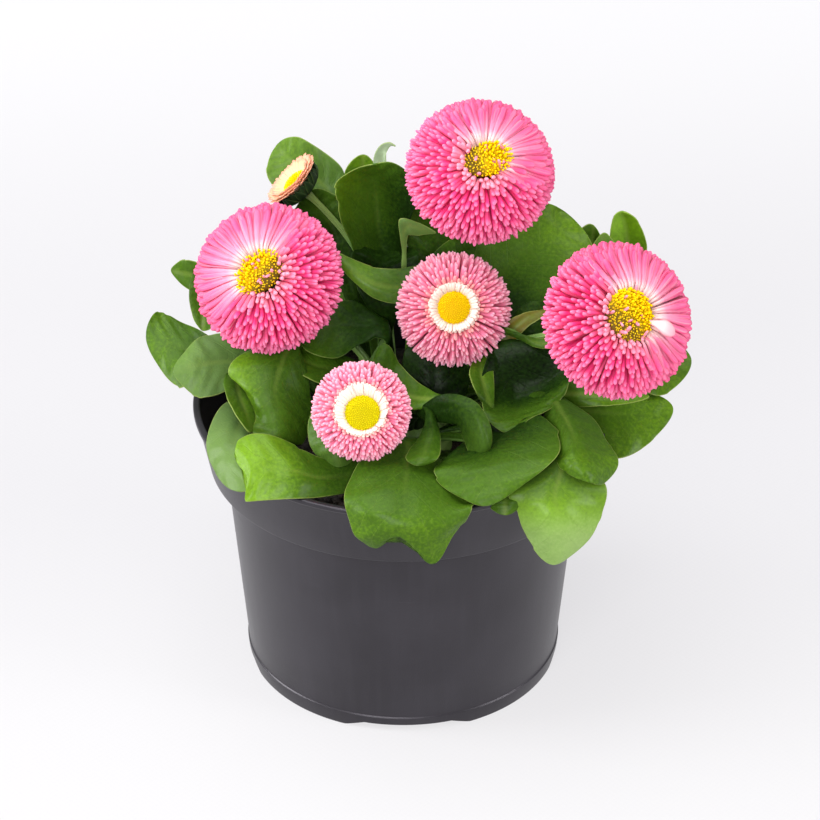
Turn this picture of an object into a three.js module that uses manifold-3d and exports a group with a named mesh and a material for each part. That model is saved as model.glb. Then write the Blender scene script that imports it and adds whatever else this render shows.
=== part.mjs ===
import * as THREE from "three";
import Module from "manifold-3d";
import { mergeVertices } from "three/addons/utils/BufferGeometryUtils.js";

// Potted english daisy. Lengths are millimetres and angles are degrees. The origin is on the pot's axis at
// the level it stands on, +Z is up, and the side shown in the photograph faces -Y.

// Space between pieces that touch.
const GAP = 0.3;

// Pot: a thin plastic nursery pot with a wide collar and a low notched foot.
const POT_HEIGHT = 73.9;
const RIM_RADIUS = 52.5;
const LIP_HEIGHT = 1.2;
const LIP_OVERHANG = 0.5;
const COLLAR_HEIGHT = 16.6;
const COLLAR_BOTTOM_RADIUS = 48.8;
const BODY_TOP_RADIUS = 44.9;
const BODY_BOTTOM_RADIUS = 39.8;
const WALL = 1.2;
const FOOT_HEIGHT = 4;
const FOOT_STEP = 0.35;
const EDGE_ROUNDING = 0.4;
const COLLAR_STEP = 0.6;
const COLLAR_EDGE = 0.8;
const LEDGE_RISE = 1.5;
const LEDGE_SLANT = 0.4;
const FLOOR_UNDERSIDE = 2.2;
const FLOOR_THICKNESS = 1.2;
const NOTCH_COUNT = 4;
const FIRST_NOTCH = -88.3;
const NOTCH_HALF_WIDTH = 11;
const NOTCH_HEIGHT = 1.95;
const NOTCH_RAMP = 5.3;
const DRAIN_COUNT = 8;
const DRAIN_RADIUS = 3.5;
const DRAIN_CIRCLE_RADIUS = 27;
const DRAIN_SEGMENTS = 20;
const POT_SEGMENTS = 64;

// Potting soil: one root ball that fills the pot to below the rim.
const SOIL_LEVEL = 60.4;
const SOIL_GAP = 0.4;
const SOIL_LUMP = 0.35;
const SOIL_TOP_RADII = [46.6, 40, 32, 24, 15];
const SOIL_FLAT_RADIUS = 15;
const SOIL_EDGE_RADIUS = 47;
const SOIL_SEGMENTS = 32;

// Crown: the low dome at soil level that leaves and stems grow from, in four tiers from the outside in.
const BASE_GAP = 0.75;
const CROWN_PROFILE = [
    [13, 0],
    [12, 4],
    [9, 7.4],
    [5.5, 9.8],
    [0, 11.4],
];
const CROWN_SEGMENTS = 24;
const LEAF_GROWTH_ANGLE = [22, 42, 60];
const STEM_TIER = 3;

// Leaves: a stalk with narrow wings that widens to a rounded blade.
const LEAF_THICKNESS = 0.8;
const STALK_THICKNESS = 1.5;
const STALK_HALF_WIDTH = 1.35;
const LEAF_OUTLINE_RISE = 0.85;
const LEAF_OUTLINE_FALL = 0.42;
const UPPER_FACE = 0.42;
const MIDRIB_GROOVE = 0.38;
const MIDRIB_KEEL = 0.62;
const STALK_END = 0.1;
const STALK_EDGE = 0.15;
const CUP_GROWTH = 3;
const ROLL_GROWTH = 2;
const STALK_STATIONS = [0, 0.4, 0.8];
const BLADE_STATIONS = [0, 0.14, 0.3, 0.46, 0.62, 0.76, 0.87, 0.95, 0.99];

// Each leaf: the crown tier and direction it starts at, the length it rises before it bends, the point it
// bends towards and its tip. Then its width, where along the midrib the blade starts, how far its
// cross-section cups up and how far the blade turns about its own length.
const LEAVES = [
    // Around the rim, from the front to the right, the back and the left.
    {
        tier: 0, base: -89, lift: 18, bend: [1, -52, 92.4], tip: [4, -58, 64.4],
        width: 31, start: 0.34, cup: -8,
    },
    {
        tier: 0, base: -48, lift: 20, bend: [43.5, -50, 90.4], tip: [38.5, -46, 55.4],
        width: 26, start: 0.42, cup: -8,
    },
    {
        tier: 1, base: -30, lift: 20, bend: [46, -26, 97.4], tip: [48, -30, 71.9],
        width: 24, start: 0.3, cup: -8,
    },
    {
        tier: 0, base: -6, lift: 20, bend: [52, -8, 89.4], tip: [65, -11, 76.4],
        width: 23, start: 0.34, cup: -6, roll: -30,
    },
    {
        tier: 1, base: 8, lift: 22, bend: [50, 6, 102.4], tip: [67, 2, 85.4],
        width: 20, start: 0.4, cup: 8, roll: -20,
    },
    {
        tier: 0, base: 22, lift: 20, bend: [50, 20, 88.4], tip: [60, 24, 78.4],
        width: 24, start: 0.34, cup: 6,
    },
    {
        tier: 0, base: 48, lift: 20, bend: [36, 40, 90.4], tip: [42, 46, 78.4],
        width: 26, start: 0.32, cup: -6,
    },
    {
        tier: 0, base: 76, lift: 20, bend: [14, 50, 90.4], tip: [15, 58.5, 72.4],
        width: 26, start: 0.32, cup: -6,
    },
    {
        tier: 0, base: 108, lift: 20, bend: [-16, 46, 90.4], tip: [-19, 56, 77.4],
        width: 26, start: 0.32, cup: 6,
    },
    {
        tier: 0, base: 136, lift: 20, bend: [-36, 34, 88.4], tip: [-46, 42, 78.4],
        width: 24, start: 0.34, cup: -6,
    },
    {
        tier: 0, base: 163, lift: 20, bend: [-52, 18, 87.4], tip: [-66, 18, 77.4],
        width: 23, start: 0.4, cup: 6, roll: 30,
    },
    {
        tier: 1, base: 176, lift: 18, bend: [-44, 3, 92.4], tip: [-57.5, 2, 78.4],
        width: 24, start: 0.34, cup: -8, roll: 20,
    },
    {
        tier: 0, base: -150, lift: 15, bend: [-31, -31, 87.4], tip: [-40.5, -41.5, 73.4],
        width: 22, start: 0.34, cup: -8,
    },
    {
        tier: 1, base: -112, lift: 14, bend: [-23, -41, 84.9], tip: [-40, -42, 79.9],
        width: 24, start: 0.32, cup: 0, roll: 8,
    },
    {
        tier: 1, base: -62, lift: 18, bend: [22, -42, 87.4], tip: [27, -47, 77.4],
        width: 30, start: 0.3, cup: -6,
    },
    // Middle ring, in the same order.
    {
        tier: 2, base: -90, lift: 12, bend: [4, -28, 88.4], tip: [5, -35, 78.9],
        width: 11, start: 0.3, cup: 30,
    },
    {
        tier: 2, base: -64, lift: 20, bend: [13, -31, 100.4], tip: [19, -37.5, 83.4],
        width: 13, start: 0.3, cup: -8,
    },
    {
        tier: 2, base: -38, lift: 16, bend: [26, -12, 97.9], tip: [34, -24, 85.4],
        width: 26, start: 0.3, cup: 20, roll: -10,
    },
    {
        tier: 2, base: -12, lift: 20, bend: [38, 1, 92.4], tip: [60, -14, 82.4],
        width: 10, start: 0.4, cup: 0,
    },
    {
        tier: 1, base: 35, lift: 30, bend: [60, 38, 90.4], tip: [58, 38, 105.4],
        width: 10, start: 0.55, cup: 15,
    },
    {
        tier: 1, base: 85, lift: 30, bend: [4, 44, 100.4], tip: [5, 52, 90.4],
        width: 24, start: 0.36, cup: 6,
    },
    {
        tier: 1, base: 125, lift: 30, bend: [-22, 36, 106.4], tip: [-31, 44, 123.4],
        width: 20, start: 0.4, cup: 10,
    },
    {
        tier: 1, base: 150, lift: 22, bend: [-46, 24, 96.4], tip: [-54, 29, 91.4],
        width: 14, start: 0.45, cup: 0,
    },
    {
        tier: 2, base: -140, lift: 18, bend: [-30, -10, 97.9], tip: [-38, -27, 81.9],
        width: 27, start: 0.3, cup: 12,
    },
    {
        tier: 2, base: -115, lift: 10, bend: [-19, -27, 87.4], tip: [-22, -34.5, 81.4],
        width: 16, start: 0.3, cup: 14,
    },
    // Inner leaves.
    {
        tier: 2, base: 14, lift: 24, bend: [24, 2, 100.4], tip: [34, 8, 95.4],
        width: 10, start: 0.4, cup: 0,
    },
    {
        tier: 2, base: 40, lift: 30, bend: [34, 24, 102.4], tip: [43, 31, 109.4],
        width: 29, start: 0.36, cup: 12,
    },
    {
        tier: 2, base: 66, lift: 20, bend: [13, 17, 95.4], tip: [14, 16, 108.4],
        width: 22, start: 0.36, cup: 10,
    },
    {
        tier: 2, base: 117, lift: 26, bend: [-7, 22, 104.4], tip: [-8, 25, 126.4],
        width: 19, start: 0.36, cup: 25,
    },
    {
        tier: 2, base: 92, lift: 26, bend: [-7, 13, 110.4], tip: [-13, 8, 101.4],
        width: 16, start: 0.36, cup: -8,
    },
    {
        tier: 2, base: 143, lift: 26, bend: [-17, 28, 102.4], tip: [-22, 36, 113.4],
        width: 13, start: 0.42, cup: 10,
    },
    {
        tier: 2, base: 168, lift: 16, bend: [-20, 4, 88.4], tip: [-29, 2, 82.4],
        width: 14, start: 0.3, cup: 0,
    },
    {
        tier: 2, base: -166, lift: 24, bend: [-14, -4, 104.4], tip: [-27, -6, 90.4],
        width: 20, start: 0.3, cup: 0,
    },
];

// Flower heads: a green cup that carries a dome of petals around a yellow disc.
const HEAD_MIDDLE = 0.3;
const RAY_UNDERSIDE = 0.3;
const DISC_RECESS = 0.7;
const CUP_DEPTH = 0.62;
const HEAD_SEGMENTS = 40;
const SMALL_SEGMENTS = 18;
const STEM_RADIUS = 1.1;
const STEM_SIDES = 8;
const STEM_STEPS = 12;

// Each flower: its name, the middle of its head, the radius of its head and its yellow disc, the height of
// its dome and the radius of its green cup. Then the way it faces, as a turn from -Y towards +X and an
// elevation. Then where its stem starts, how steeply and how far it rises, and how far it runs straight
// below the head.
const FLOWERS = [
    {
        name: "flower_top", centre: [19, 6, 134.9], radius: 18, disc: 4.6, dome: 10, cup: 7,
        turn: 8, elevation: 46, stemBase: 80, lean: 52, rise: 30, run: 36,
    },
    {
        name: "flower_left", centre: [-33, -6, 111.4], radius: 18.3, disc: 5, dome: 10, cup: 7,
        turn: -14, elevation: 38, stemBase: 175, lean: 78, rise: 18, run: 20,
    },
    {
        name: "flower_right", centre: [51.6, -28, 112.4], radius: 18.4, disc: 5, dome: 10, cup: 7,
        turn: 26, elevation: 36, stemBase: -15, lean: 78, rise: 20, run: 20,
    },
    {
        name: "flower_middle", centre: [12, -6, 102.9], radius: 14.2, disc: 4.3, dome: 7.5, cup: 6,
        turn: 0, elevation: 34, stemBase: 30, lean: 78, rise: 10, run: 8,
    },
    {
        name: "flower_front", centre: [-10, -35, 91.8], radius: 12, disc: 4.9, dome: 6, cup: 5,
        turn: 0, elevation: 35, stemBase: -80, lean: 78, rise: 10, run: 8,
    },
    {
        name: "flower_bud", centre: [-28, 24, 122.9], radius: 6.8, disc: 3, dome: 3, cup: 6,
        turn: -82.5, elevation: 51, stemBase: 135, lean: 55, rise: 18, run: 16,
    },
];

const degrees = (angle) => (angle * Math.PI) / 180;

const POT_PLASTIC = new THREE.MeshStandardMaterial({ color: 0x47454a, roughness: 0.4 });
const SOIL = new THREE.MeshStandardMaterial({ color: 0x2a1d14, roughness: 0.95 });
const LEAF_GREEN = new THREE.MeshStandardMaterial({ color: 0x3f7d1e, roughness: 0.5 });
const STEM_GREEN = new THREE.MeshStandardMaterial({ color: 0x5c8c34, roughness: 0.6 });
const CUP_GREEN = new THREE.MeshStandardMaterial({ color: 0x2f5a22, roughness: 0.6 });
const RAY_PINK = new THREE.MeshStandardMaterial({ color: 0xe85088, roughness: 0.6 });
const PALE_PINK = new THREE.MeshStandardMaterial({ color: 0xf0b9a8, roughness: 0.6 });
const DISC_YELLOW = new THREE.MeshStandardMaterial({ color: 0xf0c818, roughness: 0.7 });

function part(name, geometry, material) {
    const bare = geometry.index ? geometry.toNonIndexed() : geometry.clone();
    bare.deleteAttribute("normal");
    bare.deleteAttribute("uv");
    const welded = mergeVertices(bare, 1e-4);
    welded.computeVertexNormals();
    const mesh = new THREE.Mesh(welded, material);
    mesh.name = name;
    return mesh;
}

function turned(profile, segments) {
    const points = profile.map(([radius, height]) => new THREE.Vector2(radius, height));
    const geometry = new THREE.LatheGeometry(points, segments);
    geometry.rotateX(Math.PI / 2);
    return geometry;
}

function closedMesh(vertices, faces) {
    const geometry = new THREE.BufferGeometry();
    geometry.setAttribute("position", new THREE.Float32BufferAttribute(vertices.flat(), 3));
    geometry.setIndex(faces.flat());
    return geometry;
}

// Solid with a ring of vertices at each station; both ends are closed with a fan around their middle.
function skinned(rings) {
    const vertices = [];
    const faces = [];
    const around = rings[0].length;
    for (const ring of rings) {
        vertices.push(...ring);
    }
    for (let i = 0; i + 1 < rings.length; i += 1) {
        for (let j = 0; j < around; j += 1) {
            const next = (j + 1) % around;
            const a = i * around + j;
            const b = i * around + next;
            faces.push([a, b, b + around]);
            faces.push([a, b + around, a + around]);
        }
    }
    for (const [row, flip] of [[0, true], [rings.length - 1, false]]) {
        const middle = [0, 1, 2].map((k) => rings[row].reduce((sum, v) => sum + v[k], 0) / around);
        const centre = vertices.push(middle) - 1;
        for (let j = 0; j < around; j += 1) {
            const a = row * around + j;
            const b = row * around + ((j + 1) % around);
            faces.push(flip ? [b, a, centre] : [a, b, centre]);
        }
    }
    return closedMesh(vertices, faces);
}

// Booleans.
const wasm = await Module();
wasm.setup();

function toSolid(geometry) {
    const bare = geometry.index ? geometry.toNonIndexed() : geometry.clone();
    bare.deleteAttribute("normal");
    bare.deleteAttribute("uv");
    const welded = mergeVertices(bare, 1e-4);
    const mesh = new wasm.Mesh({
        numProp: 3,
        vertProperties: new Float32Array(welded.attributes.position.array),
        triVerts: new Uint32Array(welded.index.array),
    });
    mesh.merge();
    return new wasm.Manifold(mesh);
}

function fromSolid(solid) {
    const mesh = solid.getMesh();
    const geometry = new THREE.BufferGeometry();
    geometry.setAttribute("position", new THREE.BufferAttribute(new Float32Array(mesh.vertProperties), 3));
    geometry.setIndex(new THREE.BufferAttribute(new Uint32Array(mesh.triVerts), 1));
    return geometry;
}

// Pot.
const COLLAR_BOTTOM = POT_HEIGHT - COLLAR_HEIGHT;
const FLOOR_TOP = FLOOR_UNDERSIDE + FLOOR_THICKNESS;
const BODY_SLOPE = (BODY_TOP_RADIUS - BODY_BOTTOM_RADIUS) / COLLAR_BOTTOM;
const bodyRadius = (height) => BODY_BOTTOM_RADIUS + BODY_SLOPE * height;
const COLLAR_SLOPE = (RIM_RADIUS - LIP_OVERHANG - COLLAR_BOTTOM_RADIUS) / COLLAR_HEIGHT;
const collarRadius = (height) => COLLAR_BOTTOM_RADIUS + COLLAR_SLOPE * (height - COLLAR_BOTTOM);

function potShell() {
    const footInside = BODY_BOTTOM_RADIUS - 2 * WALL;
    const lipBottom = POT_HEIGHT - LIP_HEIGHT;
    const ledgeOutside = COLLAR_BOTTOM + LEDGE_RISE + LEDGE_SLANT;
    return turned(
        [
            [0, FLOOR_UNDERSIDE],
            [footInside, FLOOR_UNDERSIDE],
            [footInside, 0],
            [BODY_BOTTOM_RADIUS + FOOT_STEP - EDGE_ROUNDING, 0],
            [BODY_BOTTOM_RADIUS + FOOT_STEP, EDGE_ROUNDING],
            [bodyRadius(FOOT_HEIGHT) + FOOT_STEP, FOOT_HEIGHT],
            [bodyRadius(FOOT_HEIGHT + FOOT_STEP), FOOT_HEIGHT + FOOT_STEP],
            [BODY_TOP_RADIUS, COLLAR_BOTTOM + COLLAR_STEP],
            [COLLAR_BOTTOM_RADIUS - COLLAR_EDGE, COLLAR_BOTTOM],
            [COLLAR_BOTTOM_RADIUS, COLLAR_BOTTOM + EDGE_ROUNDING],
            [collarRadius(lipBottom - EDGE_ROUNDING), lipBottom - EDGE_ROUNDING],
            [RIM_RADIUS, lipBottom],
            [RIM_RADIUS, POT_HEIGHT - EDGE_ROUNDING],
            [RIM_RADIUS - EDGE_ROUNDING, POT_HEIGHT],
            [RIM_RADIUS - LIP_OVERHANG - WALL, POT_HEIGHT],
            [collarRadius(ledgeOutside) - WALL, ledgeOutside],
            [BODY_TOP_RADIUS - WALL, COLLAR_BOTTOM + LEDGE_RISE],
            [bodyRadius(FLOOR_TOP) - WALL, FLOOR_TOP],
            [0, FLOOR_TOP],
        ],
        POT_SEGMENTS,
    );
}

function footNotch(direction) {
    const reach = 1.1 * BODY_BOTTOM_RADIUS;
    const wide = NOTCH_HALF_WIDTH + 2 * NOTCH_RAMP;
    const outline = new THREE.Shape([
        new THREE.Vector2(-wide, -NOTCH_HEIGHT),
        new THREE.Vector2(wide, -NOTCH_HEIGHT),
        new THREE.Vector2(NOTCH_HALF_WIDTH, NOTCH_HEIGHT),
        new THREE.Vector2(-NOTCH_HALF_WIDTH, NOTCH_HEIGHT),
    ]);
    const block = new THREE.ExtrudeGeometry(outline, { depth: reach / 2, steps: 1, bevelEnabled: false });
    const [right, up, outwards] = [[0, 1, 0], [0, 0, 1], [1, 0, 0]].map((axis) => new THREE.Vector3(...axis));
    block.applyMatrix4(new THREE.Matrix4().makeBasis(right, up, outwards));
    block.translate(reach / 2, 0, 0);
    block.rotateZ(degrees(direction));
    return toSolid(block);
}

function drainHole(direction) {
    const hole = new THREE.CylinderGeometry(DRAIN_RADIUS, DRAIN_RADIUS, 4 * FLOOR_THICKNESS, DRAIN_SEGMENTS);
    hole.rotateX(Math.PI / 2);
    hole.translate(DRAIN_CIRCLE_RADIUS, 0, FLOOR_UNDERSIDE);
    hole.rotateZ(degrees(direction));
    return toSolid(hole);
}

function pot() {
    let solid = toSolid(potShell());
    for (let i = 0; i < NOTCH_COUNT; i += 1) {
        solid = solid.subtract(footNotch(FIRST_NOTCH + (360 / NOTCH_COUNT) * i));
    }
    for (let i = 0; i < DRAIN_COUNT; i += 1) {
        solid = solid.subtract(drainHole((360 / DRAIN_COUNT) * (i + 0.5)));
    }
    return fromSolid(solid);
}

// Soil.
function soilHeight(radius, direction) {
    const inner = (radius - SOIL_FLAT_RADIUS) / 6;
    const outer = (SOIL_EDGE_RADIUS - radius) / 4;
    const fade = Math.max(0, Math.min(1, inner, outer));
    const lumps = Math.sin(3 * direction + radius * 0.3) + Math.sin(7 * direction - radius * 0.5);
    return SOIL_LEVEL + fade * SOIL_LUMP * lumps;
}

function pottingSoil() {
    const inside = (height) => bodyRadius(height) - WALL - SOIL_GAP;
    const sides = [
        [0.5 * inside(FLOOR_TOP), FLOOR_TOP + SOIL_GAP],
        [inside(FLOOR_TOP), FLOOR_TOP + SOIL_GAP],
        [inside(COLLAR_BOTTOM) - GAP, COLLAR_BOTTOM + LEDGE_RISE + LEDGE_SLANT],
    ];
    const ringAt = (radius, levelAt) => {
        const ring = [];
        for (let j = 0; j < SOIL_SEGMENTS; j += 1) {
            const direction = (2 * Math.PI * j) / SOIL_SEGMENTS;
            ring.push([radius * Math.cos(direction), radius * Math.sin(direction), levelAt(direction)]);
        }
        return ring;
    };
    return skinned([
        ...sides.map(([radius, level]) => ringAt(radius, () => level)),
        ...SOIL_TOP_RADII.map((radius) => ringAt(radius, (direction) => soilHeight(radius, direction))),
    ]);
}

// Crown.
const CROWN_BASE = SOIL_LEVEL + GAP;

function crown() {
    const profile = [[0, CROWN_BASE], [CROWN_PROFILE[0][0], CROWN_BASE]];
    for (const [radius, height] of CROWN_PROFILE.slice(1)) {
        profile.push([radius, CROWN_BASE + height]);
    }
    return turned(profile, CROWN_SEGMENTS);
}

// Point just off the crown where a leaf or a stem starts, and the way it grows from there.
function growthPoint(tier, base, angle) {
    const [radius, height] = CROWN_PROFILE[tier];
    const [innerRadius, upperHeight] = CROWN_PROFILE[tier + 1];
    const slope = new THREE.Vector2(upperHeight - height, radius - innerRadius).normalize();
    const share = tier === STEM_TIER ? 0.34 : 0.5;
    const fromAxis = radius + share * (innerRadius - radius) + BASE_GAP * slope.x;
    const level = CROWN_BASE + height + share * (upperHeight - height) + BASE_GAP * slope.y;
    const around = degrees(base);
    const rising = degrees(angle);
    const out = new THREE.Vector3(Math.cos(around), Math.sin(around), 0);
    const start = out.clone().multiplyScalar(fromAxis).setZ(level);
    const growth = out.clone().multiplyScalar(Math.cos(rising)).setZ(Math.sin(rising));
    return { start, growth };
}

// Leaf.
function leafHalfWidth(share, width) {
    const best = LEAF_OUTLINE_RISE / (LEAF_OUTLINE_RISE + LEAF_OUTLINE_FALL);
    const outline = (s) => s ** LEAF_OUTLINE_RISE * (1 - s) ** LEAF_OUTLINE_FALL;
    const blade = (width / 2) * (outline(share) / outline(best));
    return Math.max(blade, STALK_HALF_WIDTH * (1 - share));
}

function leafGeometry(leaf) {
    const { start, growth } = growthPoint(leaf.tier, leaf.base, LEAF_GROWTH_ANGLE[leaf.tier]);
    const curve = new THREE.CubicBezierCurve3(
        start,
        start.clone().addScaledVector(growth, leaf.lift),
        new THREE.Vector3(...leaf.bend),
        new THREE.Vector3(...leaf.tip),
    );
    const stations = [
        ...STALK_STATIONS.map((share) => ({ t: share * leaf.start, share: -1 })),
        ...BLADE_STATIONS.map((share) => ({ t: leaf.start + share * (1 - leaf.start), share })),
    ];
    const rings = [];
    let side = null;
    for (const { t, share } of stations) {
        const point = curve.getPoint(t);
        const along = curve.getTangent(t);
        side = side ?? new THREE.Vector3().crossVectors(along, new THREE.Vector3(0, 0, 1));
        side.addScaledVector(along, -side.dot(along)).normalize();
        const face = new THREE.Vector3().crossVectors(side, along);
        const onBlade = Math.max(share, 0);
        const half = leafHalfWidth(onBlade, leaf.width);
        const opened = Math.min(1, onBlade * CUP_GROWTH);
        const thickness = STALK_THICKNESS + (LEAF_THICKNESS - STALK_THICKNESS) * opened;
        const cup = degrees(leaf.cup) * opened;
        const roll = degrees(leaf.roll ?? 0) * Math.min(1, onBlade * ROLL_GROWTH);
        const place = (across, lift) => {
            const flat = Math.abs(cup) < 1e-3;
            const bow = flat ? 0 : (half / cup) * (1 - Math.cos(cup * across));
            const offset = flat ? half * across : (half / cup) * Math.sin(cup * across);
            const rise = bow + lift;
            const sideways = offset * Math.cos(roll) - rise * Math.sin(roll);
            const upwards = offset * Math.sin(roll) + rise * Math.cos(roll);
            return point.clone().addScaledVector(side, sideways).addScaledVector(face, upwards).toArray();
        };
        const edge = share < STALK_END ? thickness * STALK_EDGE : 0;
        rings.push([
            place(-1, edge),
            place(-0.5, thickness * UPPER_FACE),
            place(0, thickness * MIDRIB_GROOVE),
            place(0.5, thickness * UPPER_FACE),
            place(1, edge),
            place(0.5, -thickness * UPPER_FACE),
            place(0, -thickness * MIDRIB_KEEL),
            place(-0.5, -thickness * UPPER_FACE),
        ]);
    }
    return skinned(rings);
}

// Flower head. Its parts are shaped around +Z, from the rim of the petals, in a group that faces its way.
function facing(flower) {
    const turn = degrees(flower.turn);
    const elevation = degrees(flower.elevation);
    return new THREE.Vector3(
        Math.sin(turn) * Math.cos(elevation),
        -Math.cos(turn) * Math.cos(elevation),
        Math.sin(elevation),
    );
}

const cupTop = (flower) => -flower.dome * RAY_UNDERSIDE - GAP;
const cupBottom = (flower) => cupTop(flower) - flower.cup * CUP_DEPTH;

// Petals: one domed rosette whose scalloped ranks stand for the many narrow florets.
function rayFlorets(flower) {
    const { radius, disc, dome, cup } = flower;
    const between = (share) => disc + share * (radius - disc);
    const rows = [
        { ring: disc * 0.45, height: dome - DISC_RECESS, swell: 0, ridge: 0 },
        { ring: disc + 0.6, height: dome - 0.5, swell: 0, ridge: 0 },
        { ring: between(0.28), height: dome, swell: 0.02, ridge: 0.35 },
        { ring: between(0.55), height: dome * 0.86, swell: 0.03, ridge: 0.5 },
        { ring: between(0.8), height: dome * 0.58, swell: 0.03, ridge: 0.5 },
        { ring: radius * 0.975, height: dome * 0.12, swell: 0.025, ridge: 0.3 },
        { ring: radius * 0.82, height: -dome * RAY_UNDERSIDE * 0.75, swell: 0.02, ridge: 0.2 },
        { ring: cup * 0.8, height: -dome * RAY_UNDERSIDE, swell: 0, ridge: 0 },
    ];
    const rings = rows.map(({ ring, height, swell, ridge }, row) => {
        const points = [];
        for (let j = 0; j < HEAD_SEGMENTS; j += 1) {
            const direction = (2 * Math.PI * j) / HEAD_SEGMENTS;
            const beat = (j + row) % 2 === 0 ? 1 : -1;
            const reach = ring * (1 + swell * beat);
            points.push([reach * Math.cos(direction), reach * Math.sin(direction), height + ridge * beat]);
        }
        return points;
    });
    return skinned(rings.reverse());
}

function discFlorets({ disc, dome }) {
    const floor = dome - DISC_RECESS + GAP;
    const profile = [
        [0, floor],
        [disc * 0.4, floor],
        [disc, floor + 0.35],
        [disc, floor + 0.9],
        [disc * 0.75, floor + 1.7],
        [disc * 0.4, floor + 2.2],
        [0, floor + 2.4],
    ];
    return turned(profile, SMALL_SEGMENTS);
}

function involucre(flower) {
    const { cup } = flower;
    const top = cupTop(flower);
    const profile = [
        [0, cupBottom(flower)],
        [cup * 0.35, top - cup * CUP_DEPTH * 0.97],
        [cup * 0.75, top - cup * CUP_DEPTH * 0.58],
        [cup, top - 0.6],
        [cup * 0.92, top],
        [0, top],
    ];
    return turned(profile, SMALL_SEGMENTS);
}

function headOrigin(flower) {
    return new THREE.Vector3(...flower.centre).addScaledVector(facing(flower), -flower.dome * HEAD_MIDDLE);
}

function flowerHead(flower, petals) {
    const head = new THREE.Group();
    head.position.copy(headOrigin(flower));
    head.quaternion.setFromUnitVectors(new THREE.Vector3(0, 0, 1), facing(flower));
    head.add(part(`${flower.name}_involucre`, involucre(flower), CUP_GREEN));
    head.add(part(`${flower.name}_ray_florets`, rayFlorets(flower), petals));
    head.add(part(`${flower.name}_disc_florets`, discFlorets(flower), DISC_YELLOW));
    return head;
}

function stem(flower) {
    const { start, growth } = growthPoint(STEM_TIER, flower.stemBase, flower.lean);
    const axis = facing(flower);
    const neck = headOrigin(flower).addScaledVector(axis, cupBottom(flower) - GAP);
    const curve = new THREE.CubicBezierCurve3(
        start,
        start.clone().addScaledVector(growth, flower.rise),
        neck.clone().addScaledVector(axis, -flower.run),
        neck,
    );
    const round = new THREE.Shape();
    for (let i = 0; i < STEM_SIDES; i += 1) {
        const angle = (2 * Math.PI * i) / STEM_SIDES;
        const x = STEM_RADIUS * Math.cos(angle);
        const y = STEM_RADIUS * Math.sin(angle);
        if (i === 0) {
            round.moveTo(x, y);
        } else {
            round.lineTo(x, y);
        }
    }
    round.closePath();
    return new THREE.ExtrudeGeometry(round, { steps: STEM_STEPS, bevelEnabled: false, extrudePath: curve });
}

// Whole plant.
const daisy = new THREE.Group();
daisy.name = "potted_english_daisy";
daisy.add(part("pot", pot(), POT_PLASTIC));
daisy.add(part("potting_soil", pottingSoil(), SOIL));
daisy.add(part("crown", crown(), STEM_GREEN));
LEAVES.forEach((leaf, index) => {
    const number = String(index + 1).padStart(2, "0");
    daisy.add(part(`leaf_${number}`, leafGeometry(leaf), LEAF_GREEN));
});
for (const flower of FLOWERS) {
    const petals = flower.name === "flower_bud" ? PALE_PINK : RAY_PINK;
    daisy.add(part(`${flower.name}_stem`, stem(flower), STEM_GREEN));
    daisy.add(flowerHead(flower, petals));
}

export default daisy;
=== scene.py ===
"""Looks of a potted english daisy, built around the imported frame.

Lengths are millimetres until a mesh is made.
"""

from __future__ import annotations

import logging
import math
from dataclasses import dataclass
from enum import Enum
from typing import Any, Sequence

import bmesh
import bpy
import numpy as np
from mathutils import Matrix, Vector

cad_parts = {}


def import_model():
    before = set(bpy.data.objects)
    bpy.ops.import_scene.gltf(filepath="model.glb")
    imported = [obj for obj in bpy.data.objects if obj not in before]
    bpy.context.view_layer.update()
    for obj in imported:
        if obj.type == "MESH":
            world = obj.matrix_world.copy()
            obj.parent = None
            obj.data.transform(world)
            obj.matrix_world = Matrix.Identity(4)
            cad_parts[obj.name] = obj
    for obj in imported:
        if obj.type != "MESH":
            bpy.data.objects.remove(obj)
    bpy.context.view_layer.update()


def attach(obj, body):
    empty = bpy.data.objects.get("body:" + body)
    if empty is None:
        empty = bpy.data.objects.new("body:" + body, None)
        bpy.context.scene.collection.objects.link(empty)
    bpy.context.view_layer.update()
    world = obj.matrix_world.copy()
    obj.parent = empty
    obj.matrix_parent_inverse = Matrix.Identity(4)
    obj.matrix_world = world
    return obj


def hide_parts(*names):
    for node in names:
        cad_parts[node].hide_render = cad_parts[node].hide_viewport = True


LOG = logging.getLogger("potted_daisy")
MM = 0.001
ROOT = "root"
GOLDEN_ANGLE = math.pi * (3 - math.sqrt(5))
RIM_LEVEL = 73.9
VIEW_ELEVATION = math.radians(31.8)
VIEW_DISTANCE = 800.0

Colour = tuple[float, float, float]
Point = tuple[float, float, float]
Array = np.ndarray


class Slot(Enum):
    """Material slots of the record, passed with the new pieces; nothing reads them."""

    POT = "pot_plastic"
    SOIL = "soil"
    LEAF = "leaf_green"
    STEM = "stem_green"
    BRACT = "involucre_green"
    RAY = "ray_pink"
    BUD = "bud_pink"
    DISC = "disc_yellow"


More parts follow.
